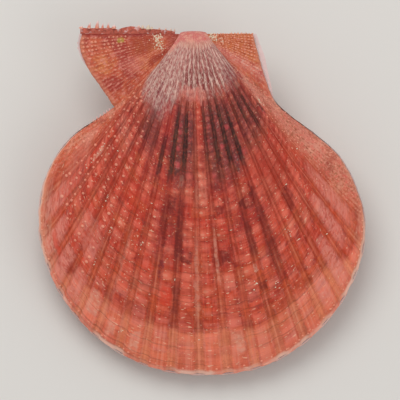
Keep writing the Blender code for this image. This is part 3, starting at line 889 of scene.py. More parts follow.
SMOKE_PATCHES = [
    (-2.7, -1.2, 0.5, 0.6, 0.5), (-2.6, -2.2, 0.56, 0.64, 0.7), (-2.5, -1.75, 0.52, 0.55, 0.9),
    (-1.75, -1.35, 0.52, 0.69, 0.9), (-1.65, -1.35, 0.73, 0.85, 0.8),
    (-1.5, -0.8, 0.655, 0.69, 0.85), (0.55, 1.3, 0.47, 0.485, 0.6), (0.6, 1.3, 0.53, 0.55, 0.7),
    (0.6, 1.3, 0.655, 0.69, 0.8), (2.2, 2.75, 0.527, 0.553, 1.0), (2.3, 2.65, 0.57, 0.7, 0.8),
    (2.35, 2.7, 0.76, 0.81, 0.8), (2.5, 3.4, 0.545, 0.56, 0.6), (3.1, 3.6, 0.518, 0.55, 1.0),
    (3.15, 3.8, 0.56, 0.76, 0.7), (5.2, 6.0, 0.6, 0.66, 0.7),
]
WINE_PATCHES = [
    (-29.8, -28.8, 0.3, 0.9, 0.4), (-6.5, -5.9, 0.235, 0.27, 0.9), (-6.5, 0.0, 0.25, 0.4, 0.5),
    (-5.8, -4.2, 0.34, 0.44, 0.5), (-4.5, -0.6, 0.43, 0.5, 0.4), (-3.0, -1.0, 0.5, 0.7, 0.4),
    (-2.5, -2.2, 0.68, 0.74, 0.8), (-0.2, 0.3, 0.36, 0.44, 0.4), (0.5, 2.6, 0.45, 0.5, 0.4),
    (0.5, 8.0, 0.25, 0.44, 0.35), (1.0, 4.0, 0.5, 0.62, 0.3), (4.2, 5.2, 0.3, 0.4, 0.6),
    (5.0, 8.2, 0.19, 0.27, 0.6),
]
RED_PATCHES = [
    (-8.2, -7.4, 0.92, 0.945, 0.7), (-5.6, -4.4, 0.53, 0.6, 0.4), (-4.8, -2.9, 0.27, 0.36, 0.5),
    (-3.2, -1.9, 0.45, 0.5, 0.4), (-2.2, -1.7, 0.76, 0.81, 0.9), (-0.4, 0.35, 0.23, 0.36, 0.4),
    (0.5, 4.5, 0.455, 0.5, 0.3),
]
DEEP_PATCHES = [
    (-29.5, -20.0, 0.34, 0.58, 0.9), (-16.5, -13.0, 0.28, 0.5, 0.9), (-8.5, -6.0, 0.5, 0.62, 0.3),
    (-8.0, -5.0, 0.3, 0.42, 0.5), (4.0, 7.0, 0.44, 0.6, 0.5), (8.8, 10.8, 0.2, 0.34, 0.7),
]
PALE_PATCHES = [
    (-9.8, -7.4, 0.93, 1.01, 0.45), (-9.2, -6.5, 0.44, 0.5, 0.2), (-9.0, -8.7, 0.59, 0.65, 0.7),
    (-5.3, -4.7, 0.89, 0.95, 0.5), (-4.4, -4.2, 0.64, 0.88, 0.25), (-4.2, -3.8, 0.92, 0.97, 0.6),
    (-3.2, -2.8, 0.92, 0.97, 0.6), (-1.75, -1.45, 0.45, 0.47, 0.6),
    (-0.65, -0.45, 0.6, 0.86, 0.4), (-0.6, 0.3, 0.43, 0.52, 0.25), (0.42, 0.58, 0.6, 0.75, 0.5),
    (0.9, 1.3, 0.9, 0.95, 0.6), (2.3, 2.5, 0.71, 0.73, 0.7), (6.4, 7.6, 0.245, 0.275, 0.5),
    (7.2, 8.6, 0.96, 1.01, 0.4), (8.5, 8.9, 0.39, 0.42, 0.9),
]
SALMON_PATCHES = [
    (-21.0, -15.0, 0.5, 0.72, 0.5), (-11.0, -8.5, 0.7, 0.86, 0.3), (-9.4, -8.7, 0.8, 0.95, 0.7),
    (-8.35, -7.65, 0.84, 0.97, 0.8), (-7.4, -5.6, 0.72, 0.84, 0.5),
    (-7.35, -6.65, 0.86, 0.98, 0.8), (-6.35, -5.65, 0.88, 0.98, 0.7),
    (-3.0, 1.2, 0.205, 0.25, 0.6), (4.65, 5.35, 0.88, 0.96, 0.7), (5.65, 6.35, 0.82, 0.97, 0.8),
    (6.65, 7.35, 0.72, 0.9, 0.8), (7.65, 8.35, 0.68, 0.92, 0.7), (8.6, 10.8, 0.36, 0.44, 0.5),
    (9.0, 11.0, 0.5, 0.62, 0.35), (9.4, 10.6, 0.72, 0.88, 0.5), (12.0, 16.0, 0.3, 0.75, 0.4),
]
WEED_SPOTS = [(-28.7, -26.9, 0.61, 0.67, 0.9)]
LEFT_PATCHES = {
    "dark": DARK_BLOTCHES, "smoke": SMOKE_PATCHES, "wine": WINE_PATCHES, "red": RED_PATCHES,
    "deep": DEEP_PATCHES, "pale": PALE_PATCHES, "salmon": SALMON_PATCHES, "weed": WEED_SPOTS,
}
# A patch is whole inside the first of these and gone at the second: 1 is its written edge.
PATCH_EDGE = (0.25, 1.6)


def patches(tree, place, marks):
    """How strongly a point of the map lies in any of these patches, 0 to 1."""
    strongest = 0.0
    for first, last, start, end, strength in marks:
        across = 2 / (last - first)
        along = 2 / (SHELL_HEIGHT_MM * (end - start))
        middle = (-across * (first + last) / 2, -along * SHELL_HEIGHT_MM * (start + end) / 2, 0.0)
        away = add(tree, "VectorMath MULTIPLY_ADD", place, (across, along, 0.0), middle)
        away = add(tree, "VectorMath LENGTH", add(tree, "VectorMath MULTIPLY", away, away))
        inside = cover(tree, (away, *PATCH_EDGE, strength, 0.0))
        strongest = add(tree, "Math MAXIMUM", strongest, inside)
    return strongest


print({kind: len(marks) for kind, marks in LEFT_PATCHES.items()}, "patches on the left valve")

# %% [markdown]
# ## The shell's calcite
#
# Scallop shell is calcite with a little protein between the crystals: hard, dull to satin, and
# never metallic. Its index of refraction is near 1.6, but the crystals are so fine that the
# surface scatters, so its roughness is high. The colours are pigments of the outermost layer.
# Each is named for where it lies: on the ribs and between them, by season, and then the coats
# over those, from the young shell round the beak to the last season's rim.

# %% Colours of the two valves
CALCITE_IOR = 1.6
CALCITE_ROUGHNESS = 0.62
CALCITE_SPECULAR = 0.2
# Sizes of what the finish shows, in mm: bars across the ribs, crystal grain and so on.
BAR_MM = 0.55
GRAIN_MM = 0.4
DUST_MM = 0.6
SPECK_MM = 0.8
FOLD_MOTTLE_MM = 1.0
MOTTLE_MM = 1.6
FLANK_CLOUD_MM = 5.0
EAR_CLOUD_MM = 6.0
# Stage and colour: what the margin laid down on the ribs and between them as the shell grew.
RIB_SEASONS = [
    (0.1, "B87069"), (0.2, "A85248"), (0.27, "9C3428"), (0.36, "A43626"), (0.46, "C23C26"),
    (0.6, "CC3A1E"), (0.8, "D24424"), (0.865, "C84628"), (0.89, "EC7A58"), (0.99, "E87252"),
]
GAP_SEASONS = [
    (0.1, "9A544C"), (0.2, "843430"), (0.3, "741C12"), (0.4, "801E12"), (0.48, "A82E16"),
    (0.65, "BE3C1C"), (0.84, "CA4E24"), (0.868, "B04828"), (0.89, "E8845C"), (0.99, "E6825C"),
]
LEFT_COLOURS = {
    # Ribs, gaps, streaks and spots of the disc.
    "pink": "DE6C5C", "streak_pale": "E4785C", "streak_dark": "8A241A", "side": "7A1E14",
    "tan": "C86A34", "thread": "D0886A", "salmon": "D88272", "brown": "6E3A24",
    "crimson": "782A2C", "fleck": "F0C4A2",
    # The belt of blotches and the patches.
    "dark": "321A14", "dark_rib": "5C302E", "dark_gap": "4A3022", "berry": "BC4248",
    "dark_fleck": "C49A90", "wine": "701C28", "smoke": "661810", "deep": "96301F",
    "red": "D03A20", "pale": "D89C84", "weed": "A89A3C",
    # The young shell, the rubbed cap and the last season.
    "cream": "E6C4B4", "cream_bar": "B8706A", "mauve": "B06C66", "young_line": "644636",
    "umbo": "CE746E", "umbo_dot": "E4A68E", "rim_pale": "E49C80", "rim_lip": "E6C0AC",
    # The flanks, the ears and the fold.
    "flank_front": "CC5830", "flank": "C8705A", "flank_pale": "E8AA90", "weedy": "7E5A34",
    "raspberry": "AC4A4C", "ear_deep": "A43C2E", "ear": "C25A3C", "ear_orange": "CC7442",
    "ear_pale": "F0C8AA", "ear_rim": "D88A6C", "fold": "D8705C",
    # What stands on the shell, and the inside.
    "knob": "F0A88C", "lime": "DCC8AE", "tip": "F2D4D0", "inside": "E4CFC4",
    "inside_edge": "B98476",
}
RIGHT_COLOURS = LEFT_COLOURS | {
    "streak_pale": "E8C8B4", "streak_dark": "B8685A", "thread": "DDB49C", "cream": "EAD8C6",
    "ear": "C87A64", "ear_deep": "A85A4C", "ear_orange": "D49A76", "flank": "CC9478",
    "flank_front": "CC8468", "ear_rim": "E6D0CC", "inside_edge": "E0C4C0",
}


def coated(tree, tone, colour, *coats):
    """Coats over a colour, one after another. A coat is its colour and the limits of its cover."""
    for above, *limits in coats:
        above = tone[above] if isinstance(above, str) else above
        colour = add(tree, "Mix", cover(tree, *limits), colour, above, data_type="RGBA")
    return colour


changed = [part for part in LEFT_COLOURS if RIGHT_COLOURS[part] != LEFT_COLOURS[part]]
print(len(LEFT_COLOURS), "colours, of which", len(changed), "differ on the right valve")

# %% [markdown]
# The coats of the disc come first. The base is a rib colour and a gap colour for each season.
# Over it lie streaks that a rib keeps for a while, blocks of colour on half a rib, spots, threads
# along the gaps, dark sides of ribs that are fine brown dots with painted shade over them, painted
# shade in the grooves between the knots, a painted highlight on the middle of each knot, and bars.
# The last season is calm, with weaker dark coats.

# %% Coats of the seasons
def season_coat(tree, fact, tone, bars, threads):
    """Rib and gap colours by season, with knots along the ribs and threads in the gaps."""
    on_rib, knot, season = fact["on_rib"], fact["knot"], fact["season"]
    ribs = add(tree, "ValToRGB", season, stops=RIB_SEASONS)
    gaps = add(tree, "ValToRGB", season, stops=GAP_SEASONS)
    growth = add(tree, "SeparateXYZ", fact["map"]).outputs["Y"]
    half_rib = add(tree, "Math ROUND", add(tree, "Math MULTIPLY", fact["line"], 2.0))
    half_rib = add(tree, "CombineXYZ", half_rib, growth, 0.0)
    streaks = map_noise(tree, half_rib, 0.23, 6.0, 2.0, 0.6)
    blocks = map_noise(tree, half_rib, 0.31, 3.0, 1.0, 0.5)
    broad = map_noise(tree, fact["ragged"], 1.8, 12.0, 2.0, 0.5)
    spots = map_noise(tree, fact["ragged"], 0.35, 1.8, 3.0, 0.6)
    patchy = map_noise(tree, fact["map"], 0.4, 6.0, 2.0, 0.5)
    dotted = map_noise(tree, fact["map"], 0.1, 0.35, 1.0, 0.5)
    pauses = map_noise(tree, fact["map"], 9.0, 0.5, 1.0, 0.5)
    groove_shade = add(tree, "Math SUBTRACT", 1.0, knot)
    between = add(tree, "Math SUBTRACT", 1.0, on_rib)
    raised = cover(tree, (fact["riblet"], 0.0, 0.3))
    sunk = add(tree, "Math SUBTRACT", 1.0, raised)
    red, green, blue = fact["own"]
    calm = cover(tree, (season, 0.84, 0.9, 1.0, 0.55))
    return coated(
        tree,
        tone,
        gaps,
        (ribs, on_rib),
        ("streak_pale", (streaks, 0.52, 0.78), 0.35),
        ("streak_dark", (streaks, 0.48, 0.22), 0.4, calm),
        ("salmon", (blocks, 0.5, 0.72), (season, 0.55, 0.75), on_rib, 0.5),
        ("streak_dark", (blocks, 0.48, 0.28), 0.35, calm),
        ("streak_pale", (broad, 0.5, 0.76), 0.35),
        ("streak_dark", (broad, 0.48, 0.24), 0.4, calm),
        ("pink", (spots, 0.5, 0.72), 0.45),
        ("crimson", (spots, 0.46, 0.26), 0.5, calm),
        ("pink", (threads, 0.54, 0.72), 0.3),
        ("side", (threads, 0.46, 0.3), 0.3, calm),
        ("tan", (blue, 0.6, 0.95), 0.2),
        ("streak_dark", (green, 0.55, 0.95), 0.25, calm),
        ("streak_pale", (red, 0.3, 0.95), knot, 0.4),
        ("thread", raised, between, (season, 0.35, 0.85, 0.3, 1.0), (patchy, 0.36, 0.62), 0.4),
        ("side", sunk, between, 0.25, calm),
        # painted shade in the grooves between the knots of a rib
        ("side", groove_shade, on_rib, 0.2, calm),
        # the walls of the ribs: fine brown dots with painted shade over them
        ("side", fact["sides"], (dotted, 0.35, 0.6), 0.3, calm),
        # painted highlight on the middle of each knot
        ("pink", fact["middle"], knot, 0.25),
        ("streak_pale", (bars, 0.54, 0.7), on_rib, 0.25),
        ("streak_dark", (bars, 0.46, 0.3), 0.3, calm),
        ("brown", (pauses, 0.66, 0.74, 0.0, 0.35)),
    )


# %% [markdown]
# Bright marks come next: tips of the young knots, pale in part and in part a painted glint, short
# arcs across the ribs, and round specks of lime. They are far smaller than a pattern on the map can
# draw evenly, so the specks are cells of their own in space, shaken a little so that they aren't all
# round.

# %% Coat of specks
def speck_coat(tree, fact, tone, colour):
    """Bright tips of young knots, partly pale tips and partly a painted glint, and specks of lime where
    thin scale edges broke off.
    """
    shake = add(tree, "TexNoise", fact["place"], 2 / (SPECK_MM * MM), 1.0, 0.5).outputs["Color"]
    shaken = add(tree, "VectorMath MULTIPLY_ADD", shake, (SPECK_MM / 2 * MM,) * 3, fact["place"])
    cells = add(tree, "TexVoronoi", shaken, Scale=1 / (SPECK_MM * MM), Randomness=1.0)
    own = add(tree, "SeparateXYZ", cells.outputs["Color"]).outputs
    arcs = map_noise(tree, fact["map"], 0.25, 0.5, 1.0, 0.5)
    # pale tips on the tops of young knots, partly a painted glint
    tips = cover(tree, fact["pip"], (fact["own"][2], 0.5, 1.0), fact["on_rib"], 0.35)
    dots = cover(tree, (cells.outputs["Distance"], 0.24, 0.1, 0.0, 0.45), (own["X"], 0.76, 0.96))
    arcs = cover(tree, (arcs, 0.7, 0.76), fact["on_rib"], 0.5)
    bright = add(tree, "Math MAXIMUM", tips, dots)
    return coated(tree, tone, colour, ("fleck", add(tree, "Math MAXIMUM", bright, arcs)))


# %% [markdown]
# The patches go on last of all. In the belt the gaps are black-brown, the ribs a dull rose
# brown with a few raspberry knots and pale arcs. Pale and wine patches are worn to a mottle.

# %% Coat of patches
PATCH_ORDER = ("salmon", "pale", "red", "deep", "wine", "smoke", "weed")
WORN_KINDS = ("salmon", "pale", "wine")


def patch_coat(tree, fact, tone, colour, marks, bars):
    """The belt of blotches and the marks around it, black-brown in the gaps, paler on the ribs."""
    broken = map_noise(tree, fact["map"], 0.22, 0.9, 2.0, 0.6)
    mottled = cover(tree, (broken, 0.38, 0.58, 0.35, 0.9))
    nearly_whole = cover(tree, (broken, 0.3, 0.5, 0.6, 1.0))
    for kind in PATCH_ORDER:
        wear = (mottled,) if kind in WORN_KINDS else (nearly_whole, 0.8)
        inside = patches(tree, fact["ragged"], marks[kind])
        colour = coated(tree, tone, colour, (kind, inside, *wear))
    middle, knot = fact["middle"], fact["knot"]
    red, green, _ = fact["own"]
    arcs = map_noise(tree, fact["map"], 0.45, 0.6, 2.0, 0.6)
    smoky = map_noise(tree, fact["map"], 0.9, 3.0, 2.0, 0.55)
    dark_rib = coated(
        tree,
        tone,
        tone["dark_rib"],
        ("wine", (red, 0.3, 0.8), knot),
        ("dark_fleck", (arcs, 0.62, 0.7), middle, 0.5),
    )
    night = coated(
        tree,
        tone,
        tone["dark"],
        ("dark_gap", (smoky, 0.45, 0.6, 0.0, 0.7)),
        (dark_rib, middle, 0.8),
        ("berry", knot, (green, 0.66, 0.8), (fact["stage"], 0.27, 0.34), middle, 0.8),
        ("wine", (bars, 0.52, 0.7, 0.0, 0.3)),
    )
    inside = patches(tree, fact["ragged"], marks["dark"])
    return coated(tree, tone, colour, (night, inside, nearly_whole, 0.92))


# %% [markdown]
# Then the youngest and the latest shell. The young shell has cream between mauve ribs in the
# middle and is cream all over toward the front, with small scale marks. The very first shell is
# smooth and pink, because it has been rubbed bare. The last season is paler and striped.

# %% Coats of youngest and latest shell
def young_coat(tree, fact, tone, colour, grain):
    """Cream streaks between mauve ribs, and small cream scales toward the shoulders."""
    ragged = add(tree, "SeparateXYZ", fact["ragged"]).outputs
    line = ragged["X"]
    turns = add(tree, "Math MULTIPLY", fact["line"], 2 * math.pi)
    wander = map_noise(tree, fact["map"], 0.3, 5.0, 2.0, 0.6)
    wave = add(tree, "Math MULTIPLY_ADD", wander, -2.4, add(tree, "Math COSINE", turns))
    fine = map_noise(tree, fact["map"], 0.14, 4.0, 2.0, 0.6)
    breaks = map_noise(tree, fact["map"], 0.3, 1.6, 2.0, 0.6)
    dust = map_noise(tree, fact["map"], 0.2, 1.2, 2.0, 0.7)
    dashes = map_noise(tree, fact["map"], 0.3, 1.0, 2.0, 0.6)
    middle = coated(
        tree,
        tone,
        tone["mauve"],
        ("crimson", (fact["stage"], 0.09, 0.2)),
        ("mauve", (grain, 0.5, 0.66, 0.0, 0.5)),
        ("cream", (wave, -1.1, -1.6), (breaks, 0.34, 0.54, 0.25, 0.9)),
        ("young_line", (fine, 0.47, 0.37, 0.0, 0.8)),
        ("cream", (dust, 0.54, 0.64, 0.0, 0.5)),
        ("crimson", (dust, 0.46, 0.36, 0.0, 0.7)),
    )
    scales = coated(
        tree,
        tone,
        tone["cream_bar"],
        ("cream", (dashes, 0.4, 0.56)),
        ("crimson", (breaks, 0.4, 0.26, 0.0, 0.6)),
        (middle, 0.5),
    )
    front = cover(tree, (line, -2.0, -3.8, 0.0, 0.85))
    rear = cover(tree, (line, 3.4, 5.0, 0.0, 0.55))
    young = coated(tree, tone, middle, (scales, add(tree, "Math MAXIMUM", front, rear)))

    # The young shell ends at a later stage toward the front, and a little later at the rear.
    front_end = cover(tree, (line, -2.4, -4.6, 0.235, 0.335))
    end = add(tree, "Math ADD", front_end, cover(tree, (line, 2.5, 6.5, 0.0, 0.02)))
    stage = add(tree, "Math DIVIDE", ragged["Y"], SHELL_HEIGHT_MM)
    past_end = add(tree, "Math SUBTRACT", stage, end)
    return coated(tree, tone, colour, (young, (past_end, 0.02, -0.04, 0.0, 0.85)))


def umbo_coat(tree, fact, tone, colour, grain):
    """The rubbed pink cap, scalloped at its edge, with a row of peach dots."""
    doubled = add(tree, "Math MULTIPLY", fact["line"], 4 * math.pi)
    scallops = add(tree, "Math MULTIPLY", add(tree, "Math COSINE", doubled), 0.006)
    to_edge = add(tree, "Math ADD", fact["stage"], scallops)
    wedge = cover(tree, (fact["line"], -6.0, -8.5, 0.0, 0.06))
    to_edge = add(tree, "Math SUBTRACT", to_edge, wedge)
    clouds = add(tree, "TexNoise", fact["place"], 1 / (MOTTLE_MM * MM), 2.0, 0.6)
    cap = coated(
        tree,
        tone,
        tone["umbo"],
        ("umbo_dot", (clouds, 0.46, 0.66, 0.0, 0.7)),
        ("fold", (clouds, 0.46, 0.32, 0.0, 0.8)),
        ("umbo_dot", (grain, 0.52, 0.7, 0.0, 0.5)),
    )
    dots = ("umbo_dot", (to_edge, 0.068, 0.076), (to_edge, 0.1, 0.085), 0.4)
    return coated(tree, tone, colour, dots, (cap, (to_edge, 0.08, 0.066)))


def rim_coat(tree, fact, tone, colour, threads):
    """The last season: pale stripes along the threads, and a thin whitish lip here and there."""
    patchy = map_noise(tree, fact["map"], 1.5, 8.0, 2.0, 0.5)
    lip = ((fact["stage"], 0.985, 0.995), fact["disc"], (patchy, 0.4, 0.6, 0.15, 0.75))
    stripes = ((threads, 0.5, 0.64), (fact["season"], 0.873, 0.886), 0.2)
    return coated(tree, tone, colour, ("rim_pale", *stripes), ("rim_lip", *lip))


# %% [markdown]
# On the flanks the ribs break up into riblets, and the colour breaks up with them, into tan and
# orange with a fine dust of weed and lime. Near the rear ear the young flank is raspberry and
# cream.

# %% Coat of the flanks
def flank_coat(tree, fact, tone, colour, grain):
    """The flanks, where the ribs break up into riblets: tan and orange, with pale dashes."""
    rear = cover(tree, (fact["line"], 7.8, 9.2))
    front = cover(tree, (fact["line"], -9.2, -10.6))
    riblets = cover(tree, (fact["riblet"], 0.1, 0.35), 0.25)
    dashes = map_noise(tree, fact["map"], 0.16, 1.0, 2.0, 0.6)
    dashes = cover(tree, (dashes, 0.54, 0.68), 0.4)
    clouds = add(tree, "TexNoise", fact["place"], 1 / (FLANK_CLOUD_MM * MM), 2.0, 0.5)
    mottle = add(tree, "TexNoise", fact["place"], 1 / (MOTTLE_MM * MM), 3.0, 0.65)
    dust = add(tree, "TexNoise", fact["place"], 1 / (DUST_MM * MM), 3.0, 0.6)
    youth = cover(tree, (fact["stage"], 0.45, 0.28), rear)
    flank = coated(
        tree,
        tone,
        tone["flank_front"],
        ("flank", rear),
        ("flank_pale", add(tree, "Math MAXIMUM", riblets, dashes)),
        ("streak_dark", (clouds, 0.48, 0.3, 0.0, 0.6)),
        ("flank_pale", (clouds, 0.52, 0.7, 0.0, 0.6)),
        ("pink", (mottle, 0.5, 0.66, 0.0, 0.7)),
        ("streak_dark", (mottle, 0.46, 0.32, 0.0, 0.6)),
        ("weedy", (dust, 0.46, 0.36, 0.0, 0.6)),
        ("flank_pale", (dust, 0.54, 0.66, 0.0, 0.6)),
        ("raspberry", youth, (mottle, 0.6, 0.4, 0.1, 0.95)),
        ("cream", youth, (grain, 0.54, 0.66)),
    )
    return coated(tree, tone, colour, (flank, add(tree, "Math MAXIMUM", rear, front), 0.8))


# %% [markdown]
# The ears have rows instead of ribs, orange to deep red, with pale beads along the rows. The
# fold is coral with specks. Beads take the colour of what they stand on, made paler, and lime
# crusts cover what they lie on.

# %% Coats of the ears, beads and crusts
def ear_coat(tree, fact, tone, colour, grain):
    """Everything off the disc: two mottled ears with pale dashes along the rows, painted shade along
    the front ears' hinge edge, and the fold.
    """
    rear = cover(tree, (fact["line"], 11.5, 15.0))
    patch = add(tree, "TexNoise", fact["place"], 1 / (EAR_CLOUD_MM * MM), 2.0, 0.55)
    berries = add(tree, "TexNoise", fact["place"], 1 / (MOTTLE_MM * MM), 3.0, 0.6)
    lumps = add(tree, "TexNoise", fact["place"], 1 / (FOLD_MOTTLE_MM * MM), 2.0, 0.6)
    clouds = map_noise(tree, fact["map"], 1.3, 5.0, 3.0, 0.6)
    dashes = map_noise(tree, fact["map"], 0.5, 2.2, 2.0, 0.6)
    rosy = coated(
        tree,
        tone,
        tone["salmon"],
        ("raspberry", (berries, 0.5, 0.38, 0.0, 0.8)),
        ("cream", (berries, 0.54, 0.66, 0.0, 0.6)),
        ("cream", (grain, 0.54, 0.66, 0.0, 0.6)),
    )
    fold = coated(
        tree,
        tone,
        tone["fold"],
        ("tip", (lumps, 0.54, 0.66, 0.0, 0.7)),
        ("ear_deep", (lumps, 0.48, 0.36, 0.0, 0.75)),
    )
    return coated(
        tree,
        tone,
        tone["ear_deep"],
        ("ear", (patch, 0.36, 0.5)),
        ("ear_orange", (patch, 0.48, 0.64)),
        ("ear_orange", rear, 0.6),
        ("ear_deep", (clouds, 0.5, 0.3, 0.0, 0.6)),
        ("salmon", (clouds, 0.5, 0.7, 0.0, 0.7)),
        ("ear_pale", (dashes, 0.46, 0.66), fact["riblet"], 0.35),
        ("ear_rim", (fact["stage"], 0.94, 0.985), 0.5),
        ("ear_deep", (grain, 0.48, 0.34), 0.3),
        (rosy, rear, (fact["line"], 17.5, 14.0, 0.0, 0.85)),
        # painted shade: a dark band along the hinge edge of the front ears, where the hinge groove lies
        # in shadow
        ("streak_dark", (fact["line"], -29.45, -29.95), 0.8),
        (fold, fact["fold"]),
        (colour, fact["disc"]),
    )


def lime_coat(tree, fact, tone, colour):
    """What stands on the shell: beads paler than their ground, whitish tips, lime crusts."""
    tips = ((fact["stage"], 0.3, 0.8, 0.0, 0.85), fact["fold"])
    return coated(tree, tone, colour, ("knob", 0.5), ("tip", *tips), ("lime", fact["lime"]))


# %% [markdown]
# Last, the finish itself: it works out which season a point belongs to, puts the coats over one
# another, paints the inside plain, and adds the relief that is too low to be worth modelling.

# %% The calcite
# Heights in metres of the bars, the threads along the growth lines, and the crystal grain.
BAR_RELIEF = 0.07 * MM
THREAD_RELIEF = 0.06 * MM
GRAIN_RELIEF = 0.03 * MM


def season_of(tree, fact):
    """The stage, wavering a little and behind by up to 0.09 toward the two shoulders."""
    wobble = map_noise(tree, fact["map"], 2.5, 6.0, 1.0, 0.5)
    wobble = cover(tree, (wobble, 0.2, 0.8, -0.01, 0.01))
    across = add(tree, "Math ABSOLUTE", fact["line"])
    delay = cover(tree, (across, 4.5, 8.0), (fact["stage"], 0.6, 0.85))
    delay = add(tree, "Math MULTIPLY_ADD", delay, -0.09, wobble)
    return add(tree, "Math ADD", fact["stage"], delay)


def calcite(name, colours, marks, limed):
    """Pigmented calcite, dull to satin: hard, crystalline, with growth lines in low relief."""
    material = bpy.data.materials.new(name)
    material.use_nodes = True
    tree = material.node_tree
    shader = tree.nodes["Principled BSDF"]
    tone = {part: linear(colour) for part, colour in colours.items()}
    fact = shell_map(tree)
    fact["season"] = season_of(tree, fact)
    bars = map_noise(tree, fact["map"], 0.8, BAR_MM, 3.0, 0.6)
    threads = map_noise(tree, fact["map"], 0.12, 24.0, 2.0, 0.5)
    grain = add(tree, "TexNoise", fact["place"], 1 / (GRAIN_MM * MM), 2.0, 0.6)
    colour = season_coat(tree, fact, tone, bars, threads)
    colour = flank_coat(tree, fact, tone, colour, grain)
    colour = speck_coat(tree, fact, tone, colour)
    colour = rim_coat(tree, fact, tone, colour, threads)
    if marks:
        colour = young_coat(tree, fact, tone, colour, grain)
    colour = umbo_coat(tree, fact, tone, colour, grain)
    colour = ear_coat(tree, fact, tone, colour, grain)
    if marks:
        colour = patch_coat(tree, fact, tone, colour, marks, bars)
    if limed:
        colour = lime_coat(tree, fact, tone, colour)
    inside = coated(tree, tone, tone["inside"], ("inside_edge", (fact["stage"], 0.7, 1.0)))
    colour = coated(tree, tone, inside, (colour, fact["outside"]))
    tree.links.new(live(colour), shader.inputs["Base Color"])
    shader.inputs["Roughness"].default_value = CALCITE_ROUGHNESS
    shader.inputs["IOR"].default_value = CALCITE_IOR
    shader.inputs["Specular IOR Level"].default_value = CALCITE_SPECULAR
    height = add(tree, "Math MULTIPLY", bars, BAR_RELIEF)
    height = add(tree, "Math MULTIPLY_ADD", threads, THREAD_RELIEF, height)
    height = add(tree, "Math MULTIPLY_ADD", grain, GRAIN_RELIEF, height)
    bump = add(tree, "Bump", 1.0, 1.0, None, height)
    tree.links.new(bump.outputs["Normal"], shader.inputs["Normal"])
    return material


left_calcite = calcite("coral_scallop_calcite", LEFT_COLOURS, LEFT_PATCHES, False)
right_calcite = calcite("pale_scallop_calcite", RIGHT_COLOURS, None, False)
left_bead_calcite = calcite("coral_bead_calcite", LEFT_COLOURS, LEFT_PATCHES, True)
right_bead_calcite = calcite("pale_bead_calcite", RIGHT_COLOURS, None, True)
print("nodes in the left valve's finish:", len(left_calcite.node_tree.nodes))

# %% Grow the two valves
left_facts = line_facts(left_outline, left_lines)
right_facts = line_facts(right_outline, valve_lines(right_outline))
grow("left_valve_shell", "left_valve", valve_group, left_facts, Material=left_calcite)
right_values = {"Side": -1.0, "Rib Shift": 0.5, "Material": right_calcite}
grow("right_valve_shell", "right_valve", valve_group, right_facts, **right_values)

# %% Grow the fold and its spines
# How far behind the hinge line and above the seam the rear half's teeth have their feet.
TOOTH_FOOT = (-0.1 * MM, 0.55 * MM)
places = np.linspace(FOLD_HEIGHTS[0][0], FOLD_HEIGHTS[-1][0], FOLD_STATIONS)
fold_height = np.interp(places, *np.array(FOLD_HEIGHTS).T)
fold_facts = {"line": places, "along": places * MM, "height": fold_height * MM}
fold_facts["rise"] = FOLD_RISE * smooth_step(*FOLD_RISES_FROM, fold_height)
grow("right_valve_fold", "right_valve", fold_tree(), fold_facts, Material=right_calcite)


def spine_facts(table, foot_y, foot_z):
    """Facts of hinge spines, which fan out a little from the middle of their row."""
    along, length, width, lime = np.array(table).T
    place = np.stack([along * MM, foot_y, np.full(len(along), foot_z)], axis=1)
    fan = np.radians(FAN_DEG * np.clip((along - FAN_CENTRE) / 4, -1, 1))
    sizes = {"length": length * MM, "width": width * MM, "lime": lime, "fan": fan}
    return {"line": along, "place": place} | sizes


spine_group = spine_tree()
crest = np.interp(np.array(SPINES)[:, 0], places, fold_height) * MM
facts = spine_facts(SPINES, crest, FOLD_ROOT[1] + FOLD_RISE)
grow("right_valve_spines", "right_valve", spine_group, facts, Material=right_bead_calcite)
foot_y = np.full(len(HINGE_TEETH), TOOTH_FOOT[0])
facts = spine_facts(HINGE_TEETH, foot_y, TOOTH_FOOT[1])
grow("left_valve_teeth", "left_valve", spine_group, facts, Material=left_bead_calcite)

# %% Grow the comb of the notch
# Line, length and width in mm of the teeth that kept the byssus threads apart.
COMB_TEETH = [
    (-10.9, 1.0, 0.85), (-10.857, 0.95, 0.8), (-10.834, 0.95, 0.8), (-10.816, 0.85, 0.75),
    (-10.8, 0.8, 0.7), (-10.774, 0.6, 0.7),
]
COMB_DEPTH = 0.35 * MM
line, length, width = np.array(COMB_TEETH).T
edge = line_facts(right_outline, line)
outward = edge["outward"]
place = edge["margin"] - outward * SPINE_ROOT - np.array([0, 0, COMB_DEPTH])
facts = {"line": line, "place": place, "length": length * MM, "width": width * MM}
facts |= {"lime": 0 * line, "fan": np.arctan2(-outward[:, 0], outward[:, 1])}
grow("right_valve_comb", "right_valve", spine_group, facts, Material=right_bead_calcite)

# %% [markdown]
# ## Where the beads are
#
# Beads stand in rows along growth lines, a little unevenly, because each was a step of the
# margin. A row is written as the lines and stages that it spans, the spacing, the size of a bead
# and how many are still there, and a seeded random draw does the rest. Crusts are clusters of
# grains in one spot, and single flecks are listed one by one.

